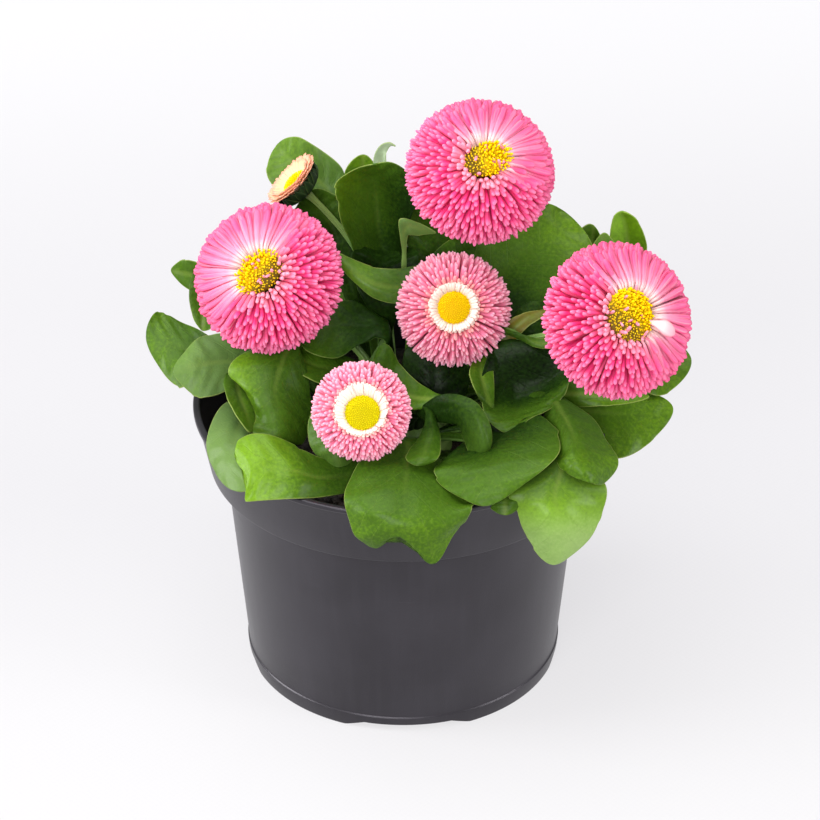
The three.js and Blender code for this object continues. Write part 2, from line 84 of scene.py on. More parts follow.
class Wire:
    """An output of a recipe's node. Python arithmetic on it adds Math nodes."""

    def __init__(self, recipe: "Recipe", socket: bpy.types.NodeSocket) -> None:
        """Wraps one socket of one recipe."""
        self.recipe = recipe
        self.socket = socket

    def _math(self, operation: str, *values: Any) -> "Wire":
        """Adds one Math node on the values."""
        return self.recipe.node("ShaderNodeMath", {"operation": operation}, dict(enumerate(values)))

    def __add__(self, other: Any) -> "Wire":
        """self + other."""
        return self._math("ADD", self, other)

    __radd__ = __add__

    def __sub__(self, other: Any) -> "Wire":
        """self - other."""
        return self._math("SUBTRACT", self, other)

    def __rsub__(self, other: Any) -> "Wire":
        """other - self."""
        return self._math("SUBTRACT", other, self)

    def __mul__(self, other: Any) -> "Wire":
        """self * other."""
        return self._math("MULTIPLY", self, other)

    __rmul__ = __mul__

    def __truediv__(self, other: Any) -> "Wire":
        """self / other."""
        return self._math("DIVIDE", self, other)

    def __abs__(self) -> "Wire":
        """abs(self)."""
        return self._math("ABSOLUTE", self)

    def sine(self) -> "Wire":
        """Sine of the value in radians."""
        return self._math("SINE", self)

    def step(self, low: float, high: float) -> "Wire":
        """Rises smoothly from 0 at low to 1 at high, or falls where low is the larger.

        Args:
            low: value where the result is 0.
            high: value where the result is 1.

        Returns:
            The smooth mask.
        """
        values = {"Value": self, "From Min": min(low, high), "From Max": max(low, high)}
        values |= {"To Min": float(low > high), "To Max": float(low < high)}
        return self.recipe.node("ShaderNodeMapRange", {"interpolation_type": "SMOOTHSTEP"}, values)


class Recipe:
    """One material made of nodes."""

    def __init__(self, name: str) -> None:
        """Starts an empty material."""
        self.material = bpy.data.materials.new(name)
        self.material.use_nodes = True
        self.tree = self.material.node_tree
        self.tree.nodes.clear()

    def node(self, kind: str, settings: dict[str, Any], inputs: dict[Any, Any], output: Any = 0) -> Wire:
        """Adds one node.

        Args:
            kind: the node's type.
            settings: properties set first. "stops" is a colour ramp's list of (place, colour).
            inputs: values or wires by socket name or number.
            output: name or number of the output that is returned.

        Returns:
            The wire of that output.
        """
        made = self.tree.nodes.new(kind)
        for key, value in settings.items():
            if key == "stops":
                ramp = made.color_ramp
                while len(ramp.elements) < len(value):
                    ramp.elements.new(1.0)
                for element, (place, colour) in zip(ramp.elements, value):
                    element.position = place
                    element.color = (*colour, 1.0)
            else:
                setattr(made, key, value)
        for key, value in inputs.items():
            socket = made.inputs[key]
            if isinstance(value, Wire):
                self.tree.links.new(value.socket, socket)
            elif isinstance(value, tuple) and socket.type == "RGBA":
                socket.default_value = (*value, 1.0)
            else:
                socket.default_value = value
        return Wire(self, made.outputs[output])

    def mark(self, name: str) -> tuple[Wire, Wire, Wire]:
        """Reads the three numbers of a mesh attribute."""
        vector = self.node("ShaderNodeAttribute", {"attribute_name": name}, {}, "Vector")
        axes = [self.node("ShaderNodeSeparateXYZ", {}, {0: vector}, axis) for axis in range(3)]
        return axes[0], axes[1], axes[2]

    def place(self) -> Wire:
        """Object coordinates in metres."""
        return self.node("ShaderNodeTexCoord", {}, {}, "Object")

    def vector(self, x: Any, y: Any, z: Any) -> Wire:
        """Joins three numbers to a vector."""
        return self.node("ShaderNodeCombineXYZ", {}, {0: x, 1: y, 2: z})

    def noise(self, at: Wire, scale: float, detail: float = 2.0) -> Wire:
        """Noise between 0 and 1 at that many waves a unit."""
        values = {"Vector": at, "Scale": scale, "Detail": detail}
        return self.node("ShaderNodeTexNoise", {}, values)

    def blend(self, factor: Any, first: Any, second: Any) -> Wire:
        """Mixes two colours: first where factor is 0, second where it is 1."""
        return self.node("ShaderNodeMix", {"data_type": "RGBA"}, {0: factor, 6: first, 7: second}, 2)

    def ramp(self, factor: Wire, stops: Sequence[tuple[float, Colour]]) -> Wire:
        """Colour ramp."""
        return self.node("ShaderNodeValToRGB", {"stops": stops}, {0: factor})

    def bump(self, height: Wire, distance: float) -> Wire:
        """Normal that follows a height, whose full rise is distance in millimetres."""
        return self.node(
            "ShaderNodeBump", {}, {"Strength": 1.0, "Distance": distance * MM, "Height": height}
        )

    def finish(
        self, inputs: dict[str, Any], glow: Colour | None = None, through: Any = 0.0
    ) -> bpy.types.Material:
        """Ends the material in a Principled shader, with some light let through a thin piece.

        Args:
            inputs: values or wires for the Principled shader.
            glow: colour of the light that comes through.
            through: share of the shader that lets light through.

        Returns:
            The material.
        """
        surface = self.node("ShaderNodeBsdfPrincipled", {}, inputs)
        if glow:
            behind = self.node("ShaderNodeBsdfTranslucent", {}, {"Color": glow})
            surface = self.node("ShaderNodeMixShader", {}, {0: through, 1: surface, 2: behind})
        end = self.tree.nodes.new("ShaderNodeOutputMaterial")
        self.tree.links.new(surface.socket, end.inputs["Surface"])
        return self.material


@dataclass(frozen=True)
class PotPlastic:
    """Dark satin moulded plastic with flow streaks, dust in its grain and fine rubs."""

    colour: Colour = (0.012, 0.011, 0.0135)
    rubbed: Colour = (0.03, 0.028, 0.034)
    tint: Colour = (0.96, 0.91, 1.0)
    roughness: float = 0.34
    gloss: float = 0.43

    def material(self) -> bpy.types.Material:
        """Builds the material."""
        recipe = Recipe("pot_plastic")
        at = recipe.place()
        cloud = recipe.noise(at, 45.0, 3.0)
        grain = recipe.noise(at, 2600.0, 1.0)
        tall = recipe.node("ShaderNodeMapping", {}, {"Vector": at, "Scale": (1.0, 1.0, 0.05)})
        streak = recipe.noise(tall, 420.0, 2.0)
        flat = recipe.node("ShaderNodeMapping", {}, {"Vector": at, "Scale": (0.04, 0.04, 1.0)})
        rub = recipe.noise(flat, 900.0, 2.0).step(0.66, 0.8) * cloud.step(0.45, 0.7)
        worn = cloud.step(0.3, 0.75) * 0.35 + streak.step(0.4, 0.8) * 0.15 + rub * 0.5
        colour = recipe.blend(worn, self.colour, self.rubbed)
        roughness = cloud * 0.12 + grain * 0.08 + streak * 0.06 + rub * 0.1 + (self.roughness - 0.13)
        normal = recipe.bump(grain * 0.7 + streak * 0.3, 0.035)
        values = {"Base Color": colour, "Roughness": roughness, "Normal": normal}
        return recipe.finish(values | {"Specular IOR Level": self.gloss, "Specular Tint": self.tint})


@dataclass(frozen=True)
class PeatSoil:
    """Damp dark peat with paler fibres and crumbs."""

    dark: Colour = (0.008, 0.005, 0.003)
    brown: Colour = (0.045, 0.026, 0.014)
    fibre: Colour = (0.17, 0.11, 0.06)

    def material(self) -> bpy.types.Material:
        """Builds the material."""
        recipe = Recipe("peat_soil")
        at = recipe.place()
        lumps = recipe.noise(at, 300.0, 4.0)
        fine = recipe.noise(at, 1500.0, 3.0)
        crumb, _, kind = recipe.mark("crumb")
        colour = recipe.blend(lumps.step(0.35, 0.75) * 0.8 + crumb * 0.2, self.dark, self.brown)
        colour = recipe.blend(fine.step(0.64, 0.76) * 0.5 + kind * 0.8, colour, self.fibre)
        normal = recipe.bump(fine * 0.6 + lumps * 0.4, 0.5)
        roughness = fine * 0.3 + 0.6
        return recipe.finish({"Base Color": colour, "Roughness": roughness, "Normal": normal})


@dataclass(frozen=True)
class LeafSkin:
    """Satin leaf skin with a sunk pale midrib, faint side veins, speckle and a thin pale margin, over painted
    light and shade.
    """

    deep: Colour = (0.002, 0.005, 0.001)
    dark: Colour = (0.01, 0.028, 0.003)
    middle: Colour = (0.048, 0.108, 0.006)
    bright: Colour = (0.16, 0.31, 0.008)
    lightest: Colour = (0.26, 0.42, 0.06)
    grey: Colour = (0.11, 0.18, 0.06)
    rib: Colour = (0.2, 0.27, 0.05)
    margin: Colour = (0.3, 0.36, 0.09)
    under: Colour = (0.1, 0.19, 0.04)
    pale: Colour = (0.42, 0.52, 0.36)
    blush: Colour = (0.2, 0.1, 0.02)
    roughness: float = 0.33
    vein_spacing: float = 5.5

    def material(self) -> bpy.types.Material:
        """Builds the material."""
        recipe = Recipe("leaf_skin")
        across, along, half = recipe.mark("blade")
        # light is painted light and shade: how lit or shaded each place of a leaf is.
        light, yellow, upper = recipe.mark("tone")
        at = recipe.place()
        out = abs(across)
        cloud = recipe.noise(at, 70.0, 3.0)
        speck = recipe.noise(at, 1300.0, 2.0)
        # Painted light and shade: the lightness, with random cloud and speckle, picks a tone from the deepest
        # painted shade to the lightest painted light.
        lit = light + (cloud - 0.5) * 0.45 + (speck - 0.5) * 0.45
        tones = (self.deep, self.dark, self.middle, self.bright, self.lightest)
        colour = recipe.ramp(lit * 0.625 + 0.19, list(zip((0.0, 0.19, 0.5, 0.81, 1.0), tones)))
        colour = recipe.blend(yellow.step(0.45, 0.0) * light.step(-0.1, 0.5) * 0.75, colour, self.grey)
        edging = (half - out).step(4.0, 0.3) * 0.75 + 0.25
        colour = recipe.blend(yellow.step(0.9, 1.0) * cloud.step(0.35, 0.6) * edging, colour, self.blush)
        slant = self.vein_spacing * 0.9
        branch = recipe.noise(at, 160.0, 1.0) * 0.35 + along / self.vein_spacing - out / slant
        wavy = abs((branch * math.pi).sine())
        side_vein = wavy.step(0.16, 0.0) * out.step(0.0, 2.5) * (half - out).step(1.0, 3.5)
        net = recipe.node(
            "ShaderNodeTexVoronoi", {"feature": "DISTANCE_TO_EDGE"}, {"Vector": at, "Scale": 520.0}
        )
        mesh = net.step(0.06, 0.0)
        midrib = out.step(1.1, 0.1) * along.step(24.0, 2.0)
        colour = recipe.blend((side_vein * 0.08 + mesh * 0.06) * light.step(0.0, 0.6), colour, self.rib)
        colour = recipe.blend(midrib * light.step(0.05, 0.6) * 0.4, colour, self.rib)
        # Painted light: where the painted lightness runs past the lit range, the leaf turns pale grey-green.
        colour = recipe.blend(light.step(0.8, 1.8) * 0.7, colour, self.pale)
        colour = recipe.blend(upper.step(0.6, 0.2) * 0.7, colour, self.under)
        rim = (half - out).step(0.3, 0.08) * along.step(0.0, 10.0) * light.step(0.0, 0.45)
        colour = recipe.blend(rim * 0.55, colour, self.margin)
        height = (cloud * 0.2 + speck * 0.3) - side_vein * 0.25 - mesh * 0.12 - midrib * 0.25
        roughness = speck * 0.14 + cloud * 0.1 + upper.step(0.6, 0.2) * 0.15 + yellow.step(0.4, 0.0) * 0.12
        values = {"Base Color": colour, "Roughness": roughness + (self.roughness - 0.12)}
        values |= {"Normal": recipe.bump(height, 0.22), "Specular IOR Level": 0.04}
        values |= {"Coat Weight": light.step(0.1, 0.8) * 0.24 + 0.02, "Coat Roughness": 0.32}
        return recipe.finish(values, (0.2, 0.42, 0.01), light.step(0.05, 0.8) * 0.15 + 0.01)


@dataclass(frozen=True)
class StemSkin:
    """Juicy stalk, pale green with a reddish flush."""

    name: str = "stem_skin"
    pale: Colour = (0.2, 0.31, 0.07)
    green: Colour = (0.075, 0.17, 0.028)
    flush: Colour = (0.3, 0.11, 0.05)

    def material(self) -> bpy.types.Material:
        """Builds the material."""
        recipe = Recipe(self.name)
        at = recipe.place()
        around, along, _ = recipe.mark("stalk")
        cloud = recipe.noise(at, 90.0, 2.0)
        groove = (around * (math.tau * 7)).sine() * 0.5 + 0.5
        colour = recipe.blend(cloud.step(0.3, 0.7) * 0.6 + groove * 0.25, self.green, self.pale)
        colour = recipe.blend(along.step(0.55, 1.0) * cloud.step(0.35, 0.7) * 0.15, colour, self.flush)
        normal = recipe.bump(groove * 0.6 + recipe.noise(at, 1500.0) * 0.4, 0.2)
        return recipe.finish({"Base Color": colour, "Roughness": 0.48, "Normal": normal})


@dataclass(frozen=True)
class BractSkin:
    """Dull green bracts with a darker keel and fine hair."""

    green: Colour = (0.016, 0.04, 0.008)
    keel: Colour = (0.006, 0.015, 0.004)
    edge: Colour = (0.045, 0.08, 0.02)

    def material(self) -> bpy.types.Material:
        """Builds the material."""
        recipe = Recipe("bract_skin")
        along, across, tint = recipe.mark("petal")
        at = recipe.place()
        cloud = recipe.noise(at, 400.0, 2.0)
        colour = recipe.blend(abs(across).step(0.55, 1.0), self.green, self.edge)
        colour = recipe.blend(
            abs(across).step(0.5, 0.0) * 0.6 + along.step(0.7, 1.0) * 0.4, colour, self.keel
        )
        colour = recipe.blend(cloud * 0.4 + tint * 0.2, colour, self.keel)
        values = {"Base Color": colour, "Roughness": cloud * 0.2 + 0.5, "Normal": recipe.bump(cloud, 0.2)}
        return recipe.finish(values | {"Specular IOR Level": 0.15})


@dataclass(frozen=True)
class PetalSkin:
    """Velvety petals: one run of colours for quills and one for opened straps, from base to tip.

    A petal's "bloom" mark is how open it is, then how far it leans to the pale inner tint: 1 is the whole
    way, and from there to 2 the tint goes on to cream.
    """

    name: str
    quill: tuple[Colour, Colour, Colour, Colour]
    strap: tuple[Colour, Colour, Colour, Colour]
    pale: Colour = (0.98, 0.5, 0.62)
    cream: Colour = (0.98, 0.95, 0.8)
    through: Colour = (1.0, 0.12, 0.34)

    def material(self) -> bpy.types.Material:
        """Builds the material."""
        recipe = Recipe(self.name)
        along, across, chance = recipe.mark("petal")
        opened, tint, _ = recipe.mark("bloom")
        colour = recipe.blend(
            opened,
            recipe.ramp(along, list(zip((0.0, 0.5, 0.85, 1.0), self.quill))),
            recipe.ramp(along, list(zip((0.16, 0.36, 0.72, 1.0), self.strap))),
        )
        grain = recipe.noise(recipe.vector(across * 2.2, along * 1.2, chance * 90.0), 2.4, 2.0)
        stripe = recipe.noise(recipe.vector(across * 5.0, along * 0.5, chance * 60.0), 1.6, 1.0)
        # Painted shade: each petal darkens to the deep quill colour along its edges, where its neighbours
        # shade it; grain adds random tone.
        edge = abs(across).step(0.6, 1.0) * (0.3 + opened * 0.15)
        colour = recipe.blend(edge + grain.step(0.52, 0.8) * 0.2, colour, self.quill[1])
        colour = recipe.blend(stripe.step(0.5, 0.75) * opened * 0.35, colour, self.strap[0])
        colour = recipe.blend(chance.step(0.5, 1.0) * 0.16 + tint.step(0.0, 1.0) * 0.75, colour, self.pale)
        colour = recipe.blend(tint.step(1.0, 2.0), colour, self.cream)
        values = {"Base Color": colour, "Roughness": grain * 0.15 + 0.42, "Normal": recipe.bump(grain, 0.1)}
        values |= {"Sheen Weight": 0.12, "Sheen Roughness": 0.4, "Specular IOR Level": 0.3}
        return recipe.finish(values, self.through, 0.36)


@dataclass(frozen=True)
class DiscPollen:
    """Tiny yellow florets, fresh ones and closed olive ones, darkened towards each floret's foot by painted
    shade, most among the closed ones.
    """

    name: str
    fresh: Colour
    warm: Colour
    olive: Colour
    # Colour of the painted shade between the florets.
    painted_gap_shade: Colour = (0.12, 0.07, 0.01)

    def material(self) -> bpy.types.Material:
        """Builds the material."""
        recipe = Recipe(self.name)
        along, _, chance = recipe.mark("petal")
        mixed, closed, _ = recipe.mark("bloom")
        colour = recipe.blend(chance, self.fresh, self.warm)
        colour = recipe.blend(closed * 0.45, colour, self.olive)
        # Painted shade between the florets: each darkens towards its foot, most where they are closed.
        painted_gap_share = mixed * (closed * 0.75 + 0.2) + (1 - mixed) * 0.6
        colour = recipe.blend(along.step(0.9, 0.4) * painted_gap_share, colour, self.painted_gap_shade)
        return recipe.finish(
            {"Base Color": colour, "Roughness": 0.6, "Specular IOR Level": 0.12}, (1.0, 0.6, 0.0), 0.2
        )


@dataclass(frozen=True)
class LitCloth:
    """White cloth with a faint weave, lit from below as on a light table, so that shadows on it stay pale."""

    colour: Colour = (0.13, 0.13, 0.133)
    glow: Colour = (0.645, 0.635, 0.655)
    far_glow: Colour = (0.765, 0.76, 0.775)
    near_glow: Colour = (0.71, 0.7, 0.71)
    threads: float = 520.0

    def material(self) -> bpy.types.Material:
        """Builds the material."""
        recipe = Recipe("lit_cloth")
        at = recipe.place()
        x, y, _ = (recipe.node("ShaderNodeSeparateXYZ", {}, {0: at}, axis) for axis in range(3))
        weave = (x * (math.tau * self.threads)).sine() * (y * (math.tau * self.threads)).sine()
        colour = recipe.blend(weave * 0.08 + 0.08, self.colour, (0.08, 0.08, 0.085))
        # Painted light: the cloth's glow is stronger far back and near the front than round the pot.
        glow = recipe.blend(y.step(0.15, 0.42), self.glow, self.far_glow)
        glow = recipe.blend(y.step(0.08, -0.07), glow, self.near_glow)
        values = {"Base Color": colour, "Roughness": 0.95, "Specular IOR Level": 0.1}
        return recipe.finish(values | {"Emission Color": glow, "Emission Strength": 1.0})


class Sculpture:
    """Closed bodies gathered into one mesh, with marks that its finish reads."""

    def __init__(self, *marks: str) -> None:
        """Starts empty, with the names of its marks."""
        self.points: list[Array] = []
        self.faces: list[Sequence[int]] = []
        self.marks: dict[str, list[Array]] = {name: [] for name in marks}
        self.count = 0

    def skin(self, rings: Array, **marks: Array) -> None:
        """Adds bodies that are each a stack of rings closed at both ends.

        Args:
            rings: points, as (bodies, rings, points round, 3).
            marks: for each mark its numbers, in the same layout.
        """
        bodies, rows, around, _ = rings.shape
        ends = rings[:, [0, -1]].mean(axis=2)
        body_points = np.concatenate([rings.reshape(bodies, -1, 3), ends], axis=1)
        self.points.append(body_points.reshape(-1, 3))
        for name, values in marks.items():
            values = np.broadcast_to(values, rings.shape)
            caps = values[:, [0, -1]].mean(axis=2)
            self.marks[name].append(
                np.concatenate([values.reshape(bodies, -1, 3), caps], axis=1).reshape(-1, 3)
            )
        a = np.arange(rows - 1)[:, None] * around + np.arange(around)[None, :]
        b = np.arange(rows - 1)[:, None] * around + (np.arange(around)[None, :] + 1) % around
        quads = np.stack([a, b, b + around, a + around], axis=-1).reshape(-1, 4)
        first = np.arange(around)
        after = (first + 1) % around
        last = (rows - 1) * around
        middle = rows * around
        low = np.stack([after, first, np.full(around, middle)], axis=-1)
        high = np.stack([first + last, after + last, np.full(around, middle + 1)], axis=-1)
        size = middle + 2
        for body in range(bodies):
            start = self.count + body * size
            self.faces.extend((quads + start).tolist())
            self.faces.extend((low + start).tolist())
            self.faces.extend((high + start).tolist())
        self.count += bodies * size

    def build(self, name: str, material: bpy.types.Material) -> bpy.types.Object:
        """Makes the Blender object, in metres."""
        mesh = bpy.data.meshes.new(name)
        mesh.from_pydata((np.concatenate(self.points) * MM).tolist(), [], self.faces)
        for key, values in self.marks.items():
            layer = mesh.attributes.new(key, "FLOAT_VECTOR", "POINT")
            layer.data.foreach_set("vector", np.concatenate(values).astype(np.float32).ravel())
        work = bmesh.new()
        work.from_mesh(mesh)
        bmesh.ops.recalc_face_normals(work, faces=work.faces)
        work.to_mesh(mesh)
        work.free()
        mesh.shade_smooth()
        mesh.materials.append(material)
        made = bpy.data.objects.new(name, mesh)
        bpy.context.scene.collection.objects.link(made)
        return made


def settle(piece: bpy.types.Object, slot: Slot, *nodes: str) -> None:
    """Ties a piece to the plant's body, hides the CAD nodes it stands for, and reports it."""
    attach(piece, ROOT)
    if nodes:
        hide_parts(*nodes)
    LOG.info("%s: %d faces", piece.name, len(piece.data.polygons))


def unit(vectors: Array) -> Array:
    """Vectors at length 1."""
    return vectors / np.maximum(np.linalg.norm(vectors, axis=-1, keepdims=True), 1e-9)


def smooth(low: float, high: float, values: Any) -> Array:
    """0 up to low, 1 from high on, and a smooth rise between."""
    share = np.clip((np.asarray(values, float) - low) / (high - low), 0, 1)
    return share * share * (3 - 2 * share)


def bezier(points: Array, t: Array) -> tuple[Array, Array]:
    """Cubic curves.

    Args:
        points: the control points, as (..., 4, 3).
        t: places along them, as (stations,).

    Returns:
        The points and the unit directions, each as (..., stations, 3).
    """
    a, b, c, d = (points[..., k, None, :] for k in range(4))
    t = t[:, None]
    place = a * (1 - t) ** 3 + 3 * b * t * (1 - t) ** 2 + 3 * c * t**2 * (1 - t) + d * t**3
    slope = (b - a) * (1 - t) ** 2 + 2 * (c - b) * t * (1 - t) + (d - c) * t**2
    return place, unit(slope)


def turns(count: int) -> Array:
    """Equally spaced directions round a circle, in radians."""
    return np.linspace(0, math.tau, count, endpoint=False)


def hoop(radius: Any, level: float, turn: Array) -> Array:
    """Points round the axis at one level."""
    return np.column_stack([radius * np.cos(turn), radius * np.sin(turn), np.full(len(turn), level)])


def blunt(t: Array, start: float, power: float = 2.0) -> Array:
    """Girth along a petal that stays full up to start and closes roundly from there on."""
    return np.sqrt(np.clip(1 - (np.clip(t - start, 0, 1) / (1 - start)) ** power, 0, 1))


def tooth(place: float, share: Array, before: float, after: float) -> Array:
    """Tooth of height 1 at a place along a margin, with its own length before and after its tip."""
    near, far = (place - share) / before, (share - place) / after
    return np.clip(1 - np.where(share <= place, near, far), 0, 1)


def wrap(upper: Array, lower: Array) -> Array:
    """Joins a grid across a leaf's top with the grid back under it, whose margins are the same."""
    return np.concatenate([upper, lower[:, -2:0:-1]], axis=1)


@dataclass(frozen=True)
class Pot:
    """Nursery pot: a thin shell with a wide collar, a rolled lip, and a low notched foot."""

    height: float = RIM_LEVEL
    rim: float = 52.5
    lip: float = 1.2
    overhang: float = 0.5
    collar: float = 16.6
    collar_bottom: float = 48.8
    body_top: float = 44.9
    body_bottom: float = 39.8
    wall: float = 1.2
    foot: float = 4.0
    foot_step: float = 0.35
    floor: float = 2.2
    notch_half: float = 11.0
    notch_height: float = 1.95
    notch_ramp: float = 5.3
    first_notch: float = -88.3
    drain_radius: float = 3.5
    drain_ring: float = 27.0
    around: int = 288

    def body(self, level: float) -> float:
        """Outer radius of the wall below the collar."""
        return self.body_bottom + (self.body_top - self.body_bottom) * level / (self.height - self.collar)

    def band(self, level: float) -> float:
        """Outer radius of the collar."""
        low = self.height - self.collar
        rise = self.rim - self.overhang - self.collar_bottom
        return self.collar_bottom + rise * (level - low) / self.collar

    def profile(self) -> list[tuple[float, float, float]]:
        """Corners of the shell from under the floor round to its inside, as radius, height and rounding."""
        low = self.height - self.collar
        lip = self.height - self.lip
        foot_outer = self.body(0) + self.foot_step
        ledge = low + 1.9
        inner_floor = self.floor + self.wall
        return [
            (9.0, self.floor, 0),
            (self.body_bottom - 2 * self.wall, self.floor, 0.4),
            (self.body_bottom - 2 * self.wall, 0.0, 0.25),
            (foot_outer, 0.0, 0.45),
            (self.body(self.foot) + self.foot_step, self.foot, 0.14),
            (self.body(self.foot + 0.3), self.foot + 0.3, 0.3),
            (self.body_top, low + 0.6, 0.35),
            (self.collar_bottom - 0.5, low, 0.3),
            (self.collar_bottom, low + 0.35, 0.3),
            (self.band(lip - 0.4), lip - 0.4, 0.3),
            (self.rim, lip, 0.35),
            (self.rim, self.height, 0.5),
            (self.rim - self.overhang - self.wall, self.height, 0.5),
            (self.band(ledge) - self.wall, ledge, 0.5),
            (self.body_top - self.wall, low + 1.5, 0.5),
            (self.body(inner_floor) - self.wall, inner_floor, 0.8),
            (9.0, inner_floor, 0),
        ]

    def rounded(self) -> Array:
        """Profile with its corners rounded and its long runs divided."""
        corners = [np.array(corner[:2]) for corner in self.profile()]
        rounding = [corner[2] for corner in self.profile()]
        line = [corners[0]]
        for i in range(1, len(corners) - 1):
            before, here, after = corners[i - 1 : i + 2]
            back, on = unit(before - here), unit(after - here)
            longest = 0.45 * min(np.linalg.norm(before - here), np.linalg.norm(after - here))
            reach = min(rounding[i], longest)
            start, end = here + back * reach, here + on * reach
            for t in np.linspace(0, 1, 5):
                line.append((1 - t) ** 2 * start + 2 * t * (1 - t) * here + t**2 * end)
        line.append(corners[-1])
        dense = [line[0]]
        for point in line[1:]:
            parts = max(1, int(np.linalg.norm(point - dense[-1]) // 4))
            start = dense[-1]
            dense.extend(start + (point - start) * k / parts for k in range(1, parts + 1))
        return np.array(dense)

    def build(self) -> None:
        """Makes the pot."""
        line = self.rounded()
        turn = turns(self.around)
        rings = np.stack([hoop(radius, level, turn) for radius, level in line])
        shell = Sculpture()
        shell.skin(rings[None])
        pot = shell.build("nursery_pot", PotPlastic().material())
        cutters = [self.notch(self.first_notch + 90 * k) for k in range(4)]
        cutters += [self.drain(45 * (k + 0.5)) for k in range(8)]
        for cutter in cutters:
            cut = pot.modifiers.new("cut", "BOOLEAN")
            cut.operation, cut.solver, cut.object = "DIFFERENCE", "EXACT", cutter
        bpy.context.view_layer.update()
        mesh = bpy.data.meshes.new_from_object(pot.evaluated_get(bpy.context.evaluated_depsgraph_get()))
        pot.modifiers.clear()
        pot.data = mesh
        mesh.set_sharp_from_angle(angle=math.radians(38))
        for cutter in cutters:
            bpy.data.objects.remove(cutter)
        settle(pot, Slot.POT, "pot")

    def cutter(self, rings: Array, direction: float) -> bpy.types.Object:
        """Block for cutting.

        Args:
            rings: its two end rings where it lies along +X, as (2, points, 3).
            direction: how far it is turned about the axis, in degrees.

        Returns:
            The block.
        """
        cos, sin = math.cos(math.radians(direction)), math.sin(math.radians(direction))
        block = Sculpture()
        block.skin((rings @ np.array([[cos, sin, 0], [-sin, cos, 0], [0, 0, 1]]))[None])
        made = block.build("cutter", bpy.data.materials.new("cutter"))
        made.hide_render = True
        return made

    def notch(self, direction: float) -> bpy.types.Object:
        """Cutter for one shallow notch with sloped ends in the foot."""
        half, wide, top = self.notch_half, self.notch_half + 2 * self.notch_ramp, self.notch_height
        section = np.array([[0, -wide, -top], [0, wide, -top], [0, half, top], [0, -half, top]])
        return self.cutter(np.stack([section + [reach, 0, 0] for reach in (20.0, 60.0)]), direction)

    def drain(self, direction: float) -> bpy.types.Object:
        """Cutter for one drain hole."""
        ends = [hoop(self.drain_radius, level, turns(40)) + [self.drain_ring, 0, 0] for level in (1.0, 5.0)]
        return self.cutter(np.stack(ends), direction)


@dataclass(frozen=True)
class RootBall:
    """Peat root ball with a crumbly top."""

    level: float = 60.4
    bottom: float = 3.9
    edge: float = 46.6
    around: int = 200
    rows: int = 46
    crumbs: int = 900
    seed: int = 5

    def lumps(self, x: Array, y: Array) -> Array:
        """Uneven height of the top at a place."""
        draw = np.random.default_rng(self.seed)
        height = np.zeros_like(x)
        for size, reach in ((14.0, 0.5), (7.0, 0.35), (3.2, 0.25), (1.6, 0.16)):
            for _ in range(5):
                turn, phase = draw.uniform(0, math.tau, 2)
                along = x * math.cos(turn) + y * math.sin(turn)
                height += reach * 0.5 * np.sin(along * math.tau / size + phase)
        return height

    def top(self, x: Array, y: Array) -> Array:
        """Height of the soil's top at a place."""
        fade = smooth(0, 3, self.edge - np.hypot(x, y))
        return self.level + fade * self.lumps(x, y)

    def build(self, pot: Pot) -> None:
        """Makes the root ball inside the pot."""
        soil = Sculpture("crumb")
        turn = turns(self.around)
        sides = [(20.0, self.bottom), (pot.body(self.bottom) - 1.8, self.bottom)]
        sides += [(pot.body(level) - 1.7, level) for level in (30.0, 55.0)]
        sides += [(pot.body_top - 2.1, 59.0)]
        rings = [hoop(radius, level, turn) for radius, level in sides]
        for radius in self.edge * np.linspace(1, 0.03, self.rows) ** 0.9:
            x, y = radius * np.cos(turn), radius * np.sin(turn)
            rings.append(np.column_stack([x, y, self.top(x, y)]))
        soil.skin(np.array(rings)[None], crumb=np.zeros(3))
        self.scatter(soil)
        settle(soil.build("peat_root_ball", PeatSoil().material()), Slot.SOIL, "potting_soil")

    def scatter(self, soil: Sculpture) -> None:
        """Adds loose crumbs and fibres, half sunk into the top."""
        draw = np.random.default_rng(self.seed + 1)
        turn = turns(7)
        tilt = np.radians([-65, -22, 22, 65])
        ball = np.stack([hoop(np.cos(up), np.sin(up), turn) for up in tilt])
        radius = (self.edge - 1.4) * np.sqrt(draw.uniform(0.02, 1, self.crumbs))
        where = draw.uniform(0, math.tau, self.crumbs)
        x, y = radius * np.cos(where), radius * np.sin(where)
        size = draw.uniform(0.25, 1.0, self.crumbs) ** 1.6
        fibre = draw.uniform(size=self.crumbs) < 0.07
        stretch = np.where(fibre, draw.uniform(4, 9, self.crumbs), draw.uniform(0.8, 1.5, self.crumbs))
        size = np.where(fibre, 0.22, size)
        lumpy = ball[None] * draw.uniform(0.75, 1.2, (self.crumbs, 4, 7, 1)) * size[:, None, None, None]
        lumpy[..., 0] *= stretch[:, None, None]
        spin = draw.uniform(0, math.tau, self.crumbs)[:, None, None]
        along, across, up = np.moveaxis(lumpy, -1, 0)
        sine, cosine = np.sin(spin), np.cos(spin)
        bodies = np.stack([along * cosine - across * sine, along * sine + across * cosine, up], axis=-1)
        bodies += np.column_stack([x, y, self.top(x, y) + 0.15 * size])[:, None, None]
        marks = np.column_stack([draw.uniform(0, 1, self.crumbs), np.zeros(self.crumbs), fibre])
        soil.skin(bodies, crumb=marks[:, None, None])


AXIS = np.array([0.0, 0.0, 1.0])
CROWN_BASE = 60.7
CROWN_PROFILE = ((13.0, 0.0), (12.0, 4.0), (9.0, 7.4), (5.5, 9.8), (0.0, 11.4))
BASE_GAP = 0.75
STEM_TIER = 3
LEAF_GROWTH_ANGLE = (22.0, 42.0, 60.0)


